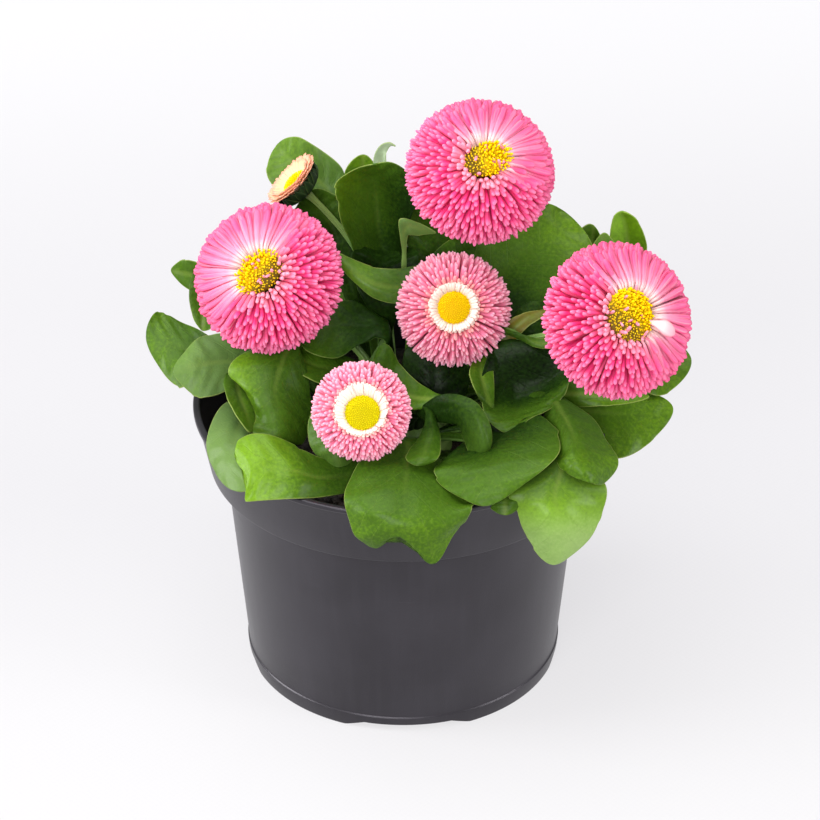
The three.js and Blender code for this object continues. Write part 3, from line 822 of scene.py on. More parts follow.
def growth(tier: int, base: float, angle: float) -> tuple[Array, Array]:
    """Where a leaf or stem starts on the crown.

    Args:
        tier: tier of the crown, from the outside in.
        base: direction from the axis in degrees.
        angle: how steeply it grows in degrees.

    Returns:
        The start and the unit direction of growth.
    """
    (radius, height), (inner, upper) = CROWN_PROFILE[tier], CROWN_PROFILE[tier + 1]
    slope = unit(np.array([upper - height, radius - inner]))
    share = 0.34 if tier == STEM_TIER else 0.5
    away = radius + share * (inner - radius) + BASE_GAP * slope[0]
    level = CROWN_BASE + height + share * (upper - height) + BASE_GAP * slope[1]
    around, rising = math.radians(base), math.radians(angle)
    out = np.array([math.cos(around), math.sin(around), 0.0])
    start = out * away + [0, 0, level]
    return start, out * math.cos(rising) + [0, 0, math.sin(rising)]


@dataclass(frozen=True)
class Crown:
    """Low stub of leaf bases at soil level."""

    around: int = 72
    rows: int = 26

    def build(self) -> None:
        """Makes the crown."""
        stub = Sculpture("stalk")
        turn = turns(self.around)
        radii, levels = zip(*CROWN_PROFILE)
        rings = []
        for share in np.linspace(0, 1, self.rows):
            level = share * levels[-1] * 0.985
            radius = np.interp(level, levels, radii)
            knob = 1 - 0.04 * (1 + np.sin(9 * turn + 5 * share)) - 0.02 * (
                1 + np.sin(23 * turn - 17 * share)
            )
            rings.append(hoop(radius * knob, CROWN_BASE + level, turn))
        marks = np.zeros((1, self.rows, self.around, 3))
        marks[..., 0] = turn / math.tau
        stub.skin(np.array(rings)[None], stalk=marks)
        settle(stub.build("leaf_crown", StemSkin("crown_skin").material()), Slot.STEM, "crown")


def distances(path: Array) -> Array:
    """Distance along a line of points, from its first one."""
    return np.concatenate([[0], np.cumsum(np.linalg.norm(np.diff(path, axis=0), axis=1))])


def add_leaf(
    into: Sculpture, upper: Array, lower: Array, places: tuple[Array, ...], tone: tuple[Any, float]
) -> None:
    """Adds a leaf's closed body to a sculpture.

    Args:
        into: the sculpture.
        upper: grid of the leaf's top, as (rows, columns, 3).
        lower: grid of its underside, with the same margins.
        places: for each point its distance across and along, and the half width there.
        tone: its painted light and shade, as lightness at each point, and how yellow it is.
    """
    columns = upper.shape[1]
    top = np.concatenate([[0.5], np.ones(columns - 2), [0.5], np.zeros(columns - 2)])
    blade = np.stack(np.broadcast_arrays(*places), axis=-1)
    light = np.broadcast_to(tone[0], upper.shape[:2])
    marks = np.stack(np.broadcast_arrays(wrap(light, light), tone[1], top[None]), axis=-1)
    into.skin(wrap(upper, lower)[None], blade=wrap(blade, blade)[None], tone=marks[None])


@dataclass(frozen=True)
class Leaf:
    """One leaf after its CAD number and curve: how light its painted light and shade make it, how yellow and
    how wavy it is.
    """

    number: int
    tier: int
    base: float
    lift: float
    bend: Point
    tip: Point
    width: float
    start: float
    cup: float
    light: float = 0.5
    yellow: float = 0.5
    wave: float = 0.5

    rise = 0.85
    fall = 0.42
    stalk_half = 1.35
    foot_thick = 1.5
    blade_thick = 0.5
    rows = 46
    columns = 27

    def half_width(self, share: Array, across: Array, teeth: Array) -> Array:
        """Half of the blade's width at each place along it, with a few shallow teeth."""
        best = self.rise / (self.rise + self.fall)
        peak = best**self.rise * (1 - best) ** self.fall
        blade = self.width / 2 * share**self.rise * np.maximum(1 - share, 0) ** self.fall / peak
        side = across >= 0
        bumps = np.zeros_like(blade)
        for place, left, reach in teeth:
            bumps += np.where(side == (left > 0), reach * tooth(place, share, 0.07, 0.018), 0)
        stalk = self.stalk_half * (1 - np.clip(share, 0, 1))
        return np.maximum(blade + bumps * smooth(0.2, 0.4, share) * smooth(1.0, 0.93, share), stalk)

    def middle(
        self, across: Array, share: Array, half: Array, draw: np.random.Generator
    ) -> tuple[Array, Array]:
        """Cross-sections of the leaf's middle surface.

        Args:
            across: place from -1 at one margin to 1 at the other, as (rows, columns).
            share: place along the blade.
            half: half width there.
            draw: source of this leaf's own waves.

        Returns:
            The distance sideways and the rise, in millimetres.
        """
        opened = np.clip(share * 3, 0, 1)
        cup = math.radians(self.cup) * opened + 1e-4
        flat = across * half
        offset = half / cup * np.sin(cup * across)
        rise = half / cup * (1 - np.cos(cup * across))
        phases = draw.uniform(0, math.tau, 6)
        out = np.abs(across)
        reach = self.wave * smooth(0.05, 0.5, share)
        ripple = np.where(
            across > 0,
            np.sin(9.5 * share + phases[0]) + 0.5 * np.sin(19 * share + phases[1]),
            np.sin(8.5 * share + phases[2]) + 0.5 * np.sin(21 * share + phases[3]),
        )
        rise = rise + reach * 0.085 * half * out**2.2 * ripple
        sway = np.cos(2.4 * across + phases[5])
        rise = rise + reach * 0.045 * half * np.sin(5.5 * share + phases[4]) * sway
        pucker = np.cos(math.tau * (share * 6.5 - out * 1.4))
        rise = rise + 0.13 * pucker * smooth(0, 0.25, out) * smooth(1, 0.8, out) * opened
        rise = rise - 0.5 * np.exp(-((flat / 1.1) ** 2)) * smooth(1.0, 0.2, share) * opened
        return offset, rise

    def sculpt(self, into: Sculpture, seed: int) -> None:
        """Adds the leaf's closed body to a sculpture."""
        draw = np.random.default_rng(seed)
        start, grown = growth(self.tier, self.base, LEAF_GROWTH_ANGLE[self.tier])
        control = np.array([start, start + grown * self.lift, self.bend, self.tip])
        stalk = np.linspace(0, 0.9, 8) * self.start
        share = 1 - (1 - np.linspace(0, 1, self.rows)) ** 1.45
        share[-1] = 0.999
        t = np.concatenate([stalk, self.start + share * (1 - self.start)])
        share = np.concatenate([np.zeros(len(stalk)), share])
        path, along = bezier(control, t)
        length = distances(path)
        side = np.cross(along[0], [0, 0, 1.0])
        sides = np.empty_like(path)
        for row, forward in enumerate(along):
            side = unit(side - forward * (side @ forward))
            sides[row] = side
        faces = np.cross(sides, along)
        across = np.sin(np.linspace(-math.pi / 2, math.pi / 2, self.columns))
        grid_share = np.repeat(share[:, None], self.columns, axis=1)
        grid_across = np.repeat(across[None], len(share), axis=0)
        count = draw.integers(2, 5)
        places, signs = draw.uniform(0.45, 0.93, count), draw.choice([-1, 1], count)
        teeth = np.column_stack([places, signs, draw.uniform(0.25, 0.6, count)])
        half = self.half_width(grid_share, grid_across, teeth)
        offset, rise = self.middle(grid_across, grid_share, half, draw)
        opened = np.clip(grid_share * 3, 0, 1)
        thick = self.foot_thick + (self.blade_thick - self.foot_thick) * opened
        swell = thick * 0.5 * np.sqrt(np.clip(1 - grid_across**2, 0, 1)) ** 0.5
        keel = 0.55 * np.exp(-((grid_across * half / 0.9) ** 2)) * smooth(1.0, 0.3, grid_share) * opened
        middle = path[:, None] + sides[:, None] * offset[..., None]
        upper = middle + faces[:, None] * (rise + swell)[..., None]
        lower = middle + faces[:, None] * (rise - swell - keel)[..., None]
        places = (grid_across * half, (length - length[len(stalk)])[:, None], half)
        add_leaf(into, upper, lower, places, (self.light, self.yellow))


LEAVES = (
    Leaf(6, 0, 22, 20, (50, 20, 88.4), (60, 24, 78.4), 24, 0.34, 6, 0.5, 0.5, 0.8),
    Leaf(7, 0, 48, 20, (36, 40, 90.4), (42, 46, 78.4), 26, 0.32, -6, 0.55, 0.55, 0.6),
    Leaf(8, 0, 76, 20, (14, 50, 90.4), (15, 58.5, 72.4), 26, 0.32, -6, 0.6, 0.5, 0.7),
    Leaf(9, 0, 108, 20, (-16, 46, 90.4), (-19, 56, 77.4), 26, 0.32, 6, 0.5, 0.45, 0.9),
    Leaf(10, 0, 136, 20, (-36, 34, 88.4), (-46, 42, 78.4), 24, 0.34, -6, 0.55, 0.5, 0.6),
    Leaf(21, 1, 85, 30, (4, 44, 100.4), (5, 52, 90.4), 24, 0.36, 6, 0.5, 0.5, 0.7),
)


def seen(points: Array) -> Array:
    """Turns points read off the front view into places.

    Args:
        points: distance right and distance up as seen from the camera, measured at the middle of the rim, and
            the true distance behind the pot's axis.

    Returns:
        The places.
    """
    right, up, back = np.moveaxis(np.asarray(points, float), -1, 0)
    sine, cosine = math.sin(VIEW_ELEVATION), math.cos(VIEW_ELEVATION)
    level = (up * (1 + cosine * back / VIEW_DISTANCE) - sine * back) / (cosine + sine * up / VIEW_DISTANCE)
    near = sine * level - cosine * back
    return np.stack([right * (1 - near / VIEW_DISTANCE), back, RIM_LEVEL + level], axis=-1)


def spline(points: Array, at: Array) -> Array:
    """Smooth curve through points, the first at 0, the next at 1 and so on.

    Args:
        points: the points, as (count, ...).
        at: places along the curve.

    Returns:
        The points there.
    """
    slope = np.gradient(points, axis=0)
    index = np.clip(np.floor(at).astype(int), 0, len(points) - 2)
    s = (at - index).reshape(-1, *[1] * (points.ndim - 1))
    before = points[index] * (2 * s**3 - 3 * s**2 + 1) + slope[index] * (s**3 - 2 * s**2 + s)
    return before + points[index + 1] * (3 * s**2 - 2 * s**3) + slope[index + 1] * (s**3 - s**2)


@dataclass(frozen=True)
class Blade:
    """One leaf shaped by rows of points across it, as seen() takes them, from its stalk's end to its tip.

    number is the CAD leaf it stands for. light is its painted light and shade, as lightness at its base and
    at its tip, and slant is painted light that makes it lighter on the left than in its middle. square is how
    squarely its tip ends: 2 is round.
    """

    number: int | None
    tier: int
    base: float
    light: tuple[float, float]
    yellow: float
    rows: tuple[tuple[Point, ...], ...]
    square: float = 2.4
    round_from: float = 0.5
    wave: float = 1.0
    slant: float = 0.0

    lift = 16.0
    stations = 44
    stalk_stations = 9
    columns = 25
    stalk_half = 1.3

    def grid(self, draw: np.random.Generator) -> tuple[Array, Array, Array]:
        """Points of the blade's middle surface with their places along it and across it."""
        rows = seen(np.array(self.rows))
        share = 1 - (1 - np.linspace(0, 1, self.stations)) ** 1.5
        end = np.clip((share - self.round_from) / (1 - self.round_from), 0, 0.9995)
        width = (1 - end**self.square) ** (1 / self.square)
        across = np.sin(np.linspace(-math.pi / 2, math.pi / 2, self.columns))
        count = draw.integers(2, 5)
        teeth = zip(
            draw.uniform(0.4, 0.95, count), draw.choice([-1, 1], count), draw.uniform(0.02, 0.05, count)
        )
        reach = np.outer(width, across)
        for place, side, size in teeth:
            reach += size * tooth(place, share, 0.08, 0.02)[:, None] * np.clip(across * side, 0, 1) ** 3
        lines = spline(rows, share * (len(rows) - 1))
        last = rows.shape[1] - 1
        surface = np.stack([spline(line, (row + 1) / 2 * last) for line, row in zip(lines, reach)])
        along = np.repeat(share[:, None], self.columns, axis=1)
        return surface, along, np.repeat(across[None], self.stations, axis=0)

    def relief(self, share: Array, across: Array, half: Array, draw: np.random.Generator) -> Array:
        """Rise over the middle surface: waves of the margin, puckers between veins, and the sunk rib."""
        phases = draw.uniform(0, math.tau, 6)
        out = np.abs(across)
        ripple = np.where(
            across > 0,
            np.sin(8 * share + phases[0]) + 0.6 * np.sin(19 * share + phases[1]),
            np.sin(9 * share + phases[2]) + 0.6 * np.sin(17 * share + phases[3]),
        )
        opened = smooth(0.0, 0.25, share)
        rise = self.wave * 0.05 * half * out**2.4 * ripple
        sway = np.cos(2.6 * across + phases[5])
        rise = rise + self.wave * 0.035 * half * np.sin(6 * share + phases[4]) * sway
        pucker = np.cos(math.tau * (share * 6.0 - out * 1.3)) * smooth(0, 0.25, out) * smooth(1, 0.8, out)
        rise = rise + 0.14 * pucker * smooth(2.5, 8, half)
        rib = np.exp(-((across * half / 1.2) ** 2)) * smooth(1.0, 0.3, share)
        return (rise - 0.45 * rib) * opened

    def stalk(self, surface: Array) -> Array:
        """Rows of the stalk, from the crown to the blade."""
        foot = surface[0]
        middle = foot[self.columns // 2]
        onward = unit(surface[3, self.columns // 2] - middle)
        start, grown = growth(self.tier, self.base, LEAF_GROWTH_ANGLE[self.tier])
        length = np.linalg.norm(middle - start)
        control = np.array([start, start + grown * self.lift, middle - onward * length * 0.35, middle])
        share = np.linspace(0, 1, self.stalk_stations, endpoint=False)
        path, _ = bezier(control, share)
        spread = (foot - middle)[None]
        side = unit(np.cross(grown, AXIS))
        side = side * (1.0 if side @ (foot[-1] - foot[0]) > 0 else -1.0)
        across = np.sin(np.linspace(-math.pi / 2, math.pi / 2, self.columns)) * self.stalk_half
        thin = side * across[:, None]
        blend = smooth(0.45, 1.0, share)[:, None, None]
        return path[:, None] + thin[None] * (1 - blend) + spread * blend

    def sculpt(self, into: Sculpture, seed: int) -> None:
        """Adds the leaf's closed body to a sculpture."""
        draw = np.random.default_rng(seed)
        surface, share, across = self.grid(draw)
        normal = np.cross(np.gradient(surface, axis=1), np.gradient(surface, axis=0))
        toward = np.array([0, -math.cos(VIEW_ELEVATION), math.sin(VIEW_ELEVATION)])
        if (unit(normal) @ toward).mean() < 0:
            surface = surface[:, ::-1]
        stalk = self.stalk(surface)
        middle = np.concatenate([stalk, surface])
        zeros = np.zeros((len(stalk), self.columns))
        share = np.concatenate([zeros, share])
        across = np.concatenate([zeros + across[:1], across])
        girth = np.linalg.norm(np.diff(middle, axis=1), axis=2).sum(axis=1)[:, None]
        half = girth / 2 + np.zeros_like(share)
        length = distances(middle[:, self.columns // 2])
        normal = unit(np.cross(np.gradient(middle, axis=1), np.gradient(middle, axis=0)))
        normal[-2:] = normal[-3]
        normal[:, [0, -1]] = normal[:, [1, -2]]
        opened = smooth(0, 0.2, share)
        thick = 1.6 - 1.1 * opened
        thick[: len(stalk)] = np.linspace(2.4, 1.6, len(stalk))[:, None]
        swell = thick * 0.5 * np.clip(1 - across**2, 0, 1) ** 0.25
        keel = 0.5 * np.exp(-((across * half / 0.9) ** 2)) * smooth(1.0, 0.3, share) * opened
        rise = self.relief(share, across, half, draw)
        upper = middle + normal * (rise + swell)[..., None]
        lower = middle + normal * (rise - swell - keel)[..., None]
        # Painted light and shade: lightness runs from the base to the tip, painted light is added on the left
        # by the slant, and painted shade halves it on the stalk.
        base, tip = self.light
        shade = base + (tip - base) * smooth(0.05, 0.8, share)
        reach = (middle[..., 0] - surface[..., 0].mean()) / np.ptp(surface[..., 0]) * 2
        shade = shade - self.slant * np.clip(reach, -1, 1)
        shade[: len(stalk)] *= 0.5
        places = (across * half, (length - length[len(stalk)])[:, None], half)
        add_leaf(into, upper, lower, places, (shade, self.yellow))


# Each blade's light pair is painted light and shade.
BLADES = (
    Blade(1, 0, -89, (0.22, 0.52), 0.62, (
        ((-3, -12, -31), (-1, -12, -31.5), (1, -12, -32), (3, -12, -31.5), (5, -12, -31)),
        ((-9, -14, -37), (-5, -16.5, -40), (1, -17, -41), (7, -17.5, -40), (12, -18, -38)),
        ((-14, -21, -45), (-8, -23, -49), (0.5, -24, -50.5), (9, -25, -49.5), (17, -26, -46)),
        ((-14.6, -27, -51), (-8, -29, -55), (0.5, -30.5, -56.5), (9, -31.5, -56), (17.2, -28, -52)),
        ((-13, -33, -53), (-7.5, -34.5, -56), (-0.6, -34.2, -57.5), (6.6, -38, -57.5), (14.5, -34, -54)),
        ((-11, -36.8, -53), (-6.8, -38, -55), (-0.6, -34.6, -57), (7, -41.6, -57), (12, -37, -54)),
    ), square=5.0, round_from=0.35, wave=0.8),
    Blade(2, 0, -48, (0.45, 1.15), 0.34, (
        ((36, -14, -36), (41, -13, -37), (46, -13.5, -35)),
        ((31, -20, -43), (39.5, -18.5, -43.5), (49, -19.5, -41)),
        ((26.3, -24, -46.5), (38, -24, -48), (50.8, -23, -43.5)),
        ((28.3, -28, -49), (38.5, -28, -51), (50.4, -28, -46)),
        ((29.5, -33, -50), (39, -33, -52.5), (48.6, -33, -47)),
        ((30.8, -37.5, -50), (38.4, -38, -52), (45.4, -37.5, -47)),
        ((33, -41.4, -49.5), (37.6, -41.8, -51), (42, -41.4, -48)),
    ), square=2.6, round_from=0.45, wave=0.7),
    Blade(3, 1, -30, (0.3, 0.5), 0.6, (
        ((35, -3, -22), (38, -1.5, -22), (41, -1, -20)), ((36.5, -9, -30), (41, -6, -31), (47, -5, -26)),
        ((38, -14, -38), (43.5, -12, -40), (51.2, -11, -32)),
        ((38.6, -17.5, -43.5), (45, -17, -45.5), (53.8, -17, -38)),
        ((41, -20, -46), (47, -21.5, -47.5), (52, -23.4, -42)),
    ), square=3.0, round_from=0.5, wave=0.8),
    Blade(4, 0, -6, (0.2, 0.58), 0.5, (
        ((36, 1, -9), (36, -1, -11), (36, -3, -13)), ((44, 2.5, -7), (45, -3, -12), (46, -11, -19)),
        ((53, 3, -5), (54, -4, -12), (52.5, -15.5, -22)),
        ((61, 2.5, -4), (61.5, -4.5, -11), (58.8, -14, -20)),
        ((67.8, 1, -5), (67.4, -4, -10), (64.8, -10.8, -16)),
    )),
    Blade(5, 1, 8, (0.25, 0.55), 0.5, (
        ((50, 14, 6), (50, 10, 2), (50, 6, -2)), ((58, 17, 8), (59, 10, 1), (58, 2, -6)),
        ((65, 16, 7), (66, 9, 0), (64, 0, -7)), ((72, 13, 4), (72, 8, -1), (69.5, 1, -6)),
    )),
    Blade(11, 0, 163, (0.1, 0.55), 0.6, (
        ((-40, 9, 6), (-40, 7, 4), (-40, 5, 2)), ((-49, 15.6, 16), (-48.5, 10, 11), (-48, 4, 5)),
        ((-56, 19.3, 22), (-54.5, 12, 14), (-53, 2.7, 3)),
        ((-60.5, 21.8, 24), (-60, 13.5, 16), (-57, 2.7, 5)),
        ((-63.4, 22.2, 24), (-64.2, 14, 17), (-60.6, 5.5, 8)),
    ), square=3.2),
    Blade(12, 1, 176, (0.15, 0.62), 0.15, (
        ((-36, 12, 2), (-36, 9.5, 0), (-36, 7, -2)), ((-42, 15.5, 5), (-42, 9, -1), (-42, 3, -6)),
        ((-48.8, 15.8, 5), (-48, 8.5, -2), (-47.5, 0.2, -8)),
        ((-53, 13.4, 3), (-53, 7.5, -3), (-52.3, 0, -8)),
        ((-57, 9.8, 1), (-57.4, 6.3, -3), (-56.5, 2.2, -6)),
    ), square=2.6),
    Blade(13, 0, -150, (0.45, 0.72), 0.05, (
        ((-40, 0, -10), (-37, -1, -11), (-35, -2.5, -12)), ((-45, -2, -15), (-40, -5, -19), (-34, -9, -24)),
        ((-48.7, -8.5, -25), (-42.5, -11.5, -31), (-34.5, -16, -36)),
        ((-49.2, -15, -31), (-43.5, -17.5, -37), (-35, -20.5, -42)),
        ((-46.8, -22, -37), (-42, -23.5, -42), (-36.5, -25, -45)),
    ), square=2.6, round_from=0.5, wave=0.5),
    Blade(14, 1, -112, (0.25, 0.74), 0.8, (
        ((-12, -15.5, -33), (-12, -18, -35.5), (-12, -21, -38), (-12, -23.5, -40.5)),
        ((-17, -15.5, -33.5), (-17, -18.5, -37), (-17, -21.5, -40), (-17, -24.6, -43)),
        ((-22, -14.6, -34), (-22, -18.4, -38.5), (-22, -21.5, -42), (-22, -25.2, -45)),
        ((-27, -12, -33), (-27, -16.6, -39.5), (-27, -20.5, -43.5), (-27, -25.4, -47)),
        ((-33, -9.8, -33), (-33, -15, -39), (-32.5, -19.8, -43), (-32, -25.7, -46.5)),
        ((-38, -9.2, -33), (-38, -15, -39), (-37, -20, -43), (-36.5, -26, -46)),
        ((-41.6, -10.8, -33.5), (-41.9, -15.5, -37), (-39.2, -20, -42), (-39.7, -26.3, -45)),
    ), square=14.0, round_from=0.8, wave=0.5, slant=0.1),
    Blade(15, 1, -62, (-0.1, 0.48), 0.55, (
        ((18, -9, -27), (22, -9.5, -28), (26, -8.5, -27)),
        ((11, -14.5, -36), (22, -12.5, -36), (33, -4.2, -26)),
        ((8, -18, -42), (22, -17, -45), (38.7, -9.5, -35)),
        ((9, -22.4, -46), (21.5, -22.5, -49.5), (38.8, -15.5, -44)),
        ((14, -26.6, -51), (22, -27, -52.5), (33, -20.8, -48)),
    ), square=2.6, round_from=0.5, wave=0.5),
    Blade(16, 2, -90, (0.05, 0.34), 0.5, (
        ((5.8, -4.5, -26), (6.8, -4.6, -27), (7.6, -4.8, -26)),
        ((5, -8, -31), (7.2, -8, -33), (9, -8, -31)), ((2.8, -11.5, -35), (6, -12, -38), (9.4, -11.5, -36)),
        ((0.2, -14.8, -40), (4.8, -15.5, -42.5), (9.2, -15, -41)),
        ((-0.3, -16.3, -41.5), (3.5, -17.2, -43.5), (7.8, -17.2, -42.5)),
    )),
    Blade(17, 2, -64, (-0.1, 0.24), 0.35, (
        ((5, -2, -22), (5.5, -4, -23), (6.5, -6, -24)), ((9, 0.5, -26), (9.5, -3, -28), (10.5, -6.5, -29)),
        ((14, 0.6, -29), (13.5, -3, -32), (13.5, -7, -32)),
        ((18.5, -1.5, -32), (17, -5.5, -34.5), (14.5, -9, -33)),
        ((21.3, -6, -34), (19, -8.5, -36.5), (15.5, -11.5, -34)),
        ((22.5, -11, -36), (20, -12.5, -38), (16, -14, -35.5)),
        ((21.8, -15.5, -37), (19.5, -16.3, -38), (16.5, -16.5, -36.5)),
    ), square=2.4, round_from=0.65, wave=0.4),
    Blade(18, 2, -38, (-0.2, 0.36), 0.5, (
        ((21, 10, -12), (23, 9.5, -11), (25, 9.5, -11), (28.5, 10.5, -11), (33, 12, -11)),
        ((19.5, 4, -17), (23, 1.5, -16), (28, 0.5, -15), (34, 2.5, -14), (40, 8, -13)),
        ((19.5, -1, -22), (23.5, -3, -22), (28.5, -3, -21), (34.5, -1, -20), (41.5, 4, -18)),
        ((20.3, -4.5, -26), (24.5, -6.3, -27.5), (28.5, -6, -27), (33.5, -3.5, -25), (40, 0, -21)),
        ((22, -7.8, -29), (25.5, -9, -30.5), (29, -8, -30), (32, -5.2, -28), (37, -3.9, -26)),
    ), square=4.0, round_from=0.5, wave=0.5),
    Blade(19, 2, -12, (0.4, 0.72), 0.6, (
        ((38, 3, -9), (38, 0.5, -11), (38.5, -1.5, -12)),
        ((43, 4.5, -9), (43.5, 0.8, -13), (44, -2.5, -15)),
        ((49, 3.5, -10), (49.5, 0.2, -14), (50.5, -2.2, -16)),
        ((55, 2.5, -11), (55.5, 0, -14), (56.5, -1.8, -16)),
        ((61, 1.5, -12), (61.5, 0.2, -13.5), (62, -0.8, -15)),
    ), wave=0.4),
    Blade(20, 1, 35, (0.72, 0.86), 0.8, (
        ((53, 30, 36), (55.5, 30, 37), (58.5, 30, 36)), ((51.8, 37, 37), (56.2, 37, 39), (60.9, 36.5, 37)),
        ((51.7, 41, 37.5), (56, 41, 39.5), (60.3, 40.5, 37.5)),
        ((52.2, 44.2, 38), (55.3, 44.6, 39.5), (58.9, 43.6, 38)),
        ((52.3, 45.6, 38), (54.8, 46.4, 38.8), (58.2, 45.2, 38)),
    ), square=3.5, round_from=0.6, wave=0.3, slant=0.08),
    Blade(22, 1, 125, (0.2, 0.72), 0.3, (
        ((-14, 52, 33), (-17, 49, 32), (-20, 46, 31)), ((-15.5, 57.5, 37), (-20, 53, 36), (-26, 48.5, 34)),
        ((-20.5, 61.8, 41), (-25, 57, 40), (-31, 51.3, 37)),
        ((-25.3, 65, 43), (-29.2, 60.3, 43), (-34.2, 55, 40)),
        ((-28.6, 66.3, 45), (-31.6, 63, 45), (-35, 58.8, 42)),
    ), square=3.0, round_from=0.5, wave=0.6),
    Blade(23, 1, 150, (0.3, 0.5), 0.45, (
        ((-46, 30, 20), (-46, 27.5, 19), (-46, 25, 18)), ((-51, 33.5, 22), (-51, 30, 21), (-51, 26, 20)),
        ((-55, 34.5, 24), (-55, 31, 23), (-54, 27, 21)), ((-58, 33.5, 25), (-58, 31.5, 24), (-57, 29, 23)),
    )),
    Blade(24, 2, -140, (0.36, 0.4), 0.66, (
        ((-30, 13, -6), (-29, 13, -6.5), (-28, 13, -7), (-27, 12.5, -7.5), (-26, 12, -8)),
        ((-39.5, 11, -9), (-35, 10, -12), (-30, 9, -13), (-27, 8, -13), (-24, 6, -12)),
        ((-43.7, 6, -13), (-38, 3.5, -17), (-32, 2, -19), (-27, 0, -18), (-23, -2, -16)),
        ((-39.5, 1, -17), (-36, -2, -22), (-31, -4, -24), (-27, -6, -23), (-23, -7.5, -20)),
        ((-37, -5, -23), (-34.5, -7, -26), (-31, -9, -28), (-28, -10.5, -27), (-25, -11.5, -24)),
        ((-38.7, -8.5, -27), (-36, -10, -29), (-33, -11.5, -30), (-30, -12, -29), (-27.5, -12, -27)),
    ), square=8.0, round_from=0.7, wave=0.5, slant=0.3),
    Blade(25, 2, -115, (0.1, 0.44), 0.3, (
        ((-17, 0, -22), (-14, -1, -23), (-11, -1, -22)),
        ((-22.5, -3, -25), (-15.5, -5, -28), (-8.5, -5, -26)),
        ((-24, -8, -28), (-16.5, -10, -32), (-8, -11, -29)),
        ((-23, -13, -31), (-16.5, -14, -35), (-8, -15.5, -31)),
        ((-20, -17, -33), (-16, -18, -36), (-9, -18.5, -33)),
    ), square=2.6, round_from=0.5, wave=0.5),
    Blade(26, 2, 14, (0.4, 0.5), 0.95, (
        ((22, 14, -6), (23.5, 12.5, -6.5), (25, 11, -7)),
        ((25.5, 18.5, -5), (27, 16.5, -6), (28, 14.2, -7)),
        ((29.5, 20.8, -4), (30.5, 19.3, -5), (31.5, 17.8, -6)),
        ((33.5, 21.8, -3), (34, 20.8, -4), (34.5, 19.6, -5)),
        ((36.5, 22.3, -2), (36.8, 21.8, -2.5), (37, 21.2, -3)),
    )),
    Blade(27, 2, 40, (-0.15, 0.62), 0.62, (
        ((14, 24, 6), (19, 21, 6), (24, 18, 4)), ((7, 34, 14), (22, 28, 14), (36, 18, 8)),
        ((14, 41, 21), (29, 35, 21), (44, 24, 14)), ((25, 46.5, 28), (37, 40.5, 26), (48.5, 31, 19)),
        ((34, 50.5, 31), (41.5, 45.5, 29), (49, 38, 23)),
    ), square=4.0, round_from=0.55, wave=1.0),
    Blade(28, 2, 66, (0.05, 0.3), 0.45, (
        ((6, 30, 15), (10, 29, 15), (14, 30, 14)), ((1, 38, 17), (9, 36.5, 18), (18, 36, 16)),
        ((-0.5, 44, 19), (8, 43, 20), (19, 43, 18)), ((0, 50, 21), (8, 51, 22), (16, 50, 20)),
        ((0.3, 55, 23), (8, 57, 24), (15, 54, 22)),
    ), square=2.6, round_from=0.5, wave=0.6),
    Blade(29, 2, 117, (0.14, 0.36), 0.5, (
        ((-13, 38.5, 14), (-9, 36, 18), (-5, 34.9, 20), (-1.5, 34.3, 19), (0.5, 34.5, 15)),
        ((-15.6, 44, 13), (-11, 42, 18), (-6, 41, 20.5), (-2, 41, 19), (1, 42, 14)),
        ((-16.9, 50, 13), (-12, 49, 19), (-6.5, 48, 21.5), (-2, 48, 19), (3.2, 49, 14)),
        ((-17, 53.5, 14), (-12, 54, 19), (-7, 54.5, 21), (-2.5, 55, 18), (2.8, 54.5, 14)),
        ((-14.8, 56.6, 15), (-11, 57.6, 18), (-7, 58.3, 19.5), (-3.5, 59, 17), (0, 58.8, 14)),
    ), square=3.0, round_from=0.6, wave=0.12, slant=0.42),
    Blade(30, 2, 92, (0.2, 0.62), 0.34, (
        ((4, 33, 6), (4, 28, 2), (4, 24, 0)), ((-2, 32, 5), (-2, 27.5, 1), (-2, 23.3, -1)),
        ((-7, 32.5, 5), (-7.5, 28.5, 1), (-7.5, 24.8, 0)),
        ((-12, 34.5, 6), (-12.5, 31.5, 3), (-12, 28.3, 1.5)),
        ((-16.5, 37.5, 8), (-16.5, 35, 6), (-16, 31.5, 4)),
    ), square=2.6, round_from=0.5, wave=0.4),
    Blade(31, 2, 143, (0.1, 0.3), 0.4, (
        ((-19, 36, 22), (-16, 37.5, 23), (-13, 39, 23)), ((-23, 41, 23), (-18, 43, 26), (-13, 44, 26)),
        ((-28, 45.3, 24), (-21, 47.5, 28), (-14, 49, 28)),
        ((-28.4, 47.8, 25), (-22.3, 52, 29), (-16.5, 51.5, 29)),
    )),
    Blade(32, 2, 168, (0.1, 0.5), 0.45, (
        ((-12, 9, -4), (-12, 6, -7), (-13, 3.5, -10)), ((-17, 11.5, -2), (-17.5, 7, -8), (-18.5, 2.8, -13)),
        ((-22, 13, -2), (-22.5, 8, -8), (-23, 4.2, -14)),
        ((-26.5, 14, -2), (-27, 10.5, -7), (-27, 7, -12.5)),
        ((-30.5, 14, -3), (-30.5, 12, -6), (-30, 10.5, -9)),
    )),
    Blade(33, 2, -166, (-0.05, 0.26), 0.5, (
        ((-6, 20, 4), (-6, 17.5, 0), (-7, 15, -3)), ((-11, 23.5, 6), (-11, 18, 1), (-11.5, 12.5, -6)),
        ((-17, 24, 7), (-17, 18, 1), (-17, 9.8, -8)), ((-22, 22, 6), (-22.5, 16.5, -1), (-22.5, 10.3, -8)),
        ((-27, 19, 3), (-27, 15.5, -1), (-27, 12.5, -6)),
    ), square=2.8),
    Blade(None, 1, -140, (0.45, 0.5), 0.6, (
        ((-45, 3.5, -13), (-42, 4, -11), (-37.5, 4, -9)),
        ((-44.3, 0.5, -19), (-41, 0.8, -16), (-36.5, 1, -13)),
        ((-43.2, -2.2, -23), (-40, -2, -20), (-35.5, -2, -17)),
        ((-41.5, -5, -26.5), (-39, -5, -24), (-35, -5, -20)),
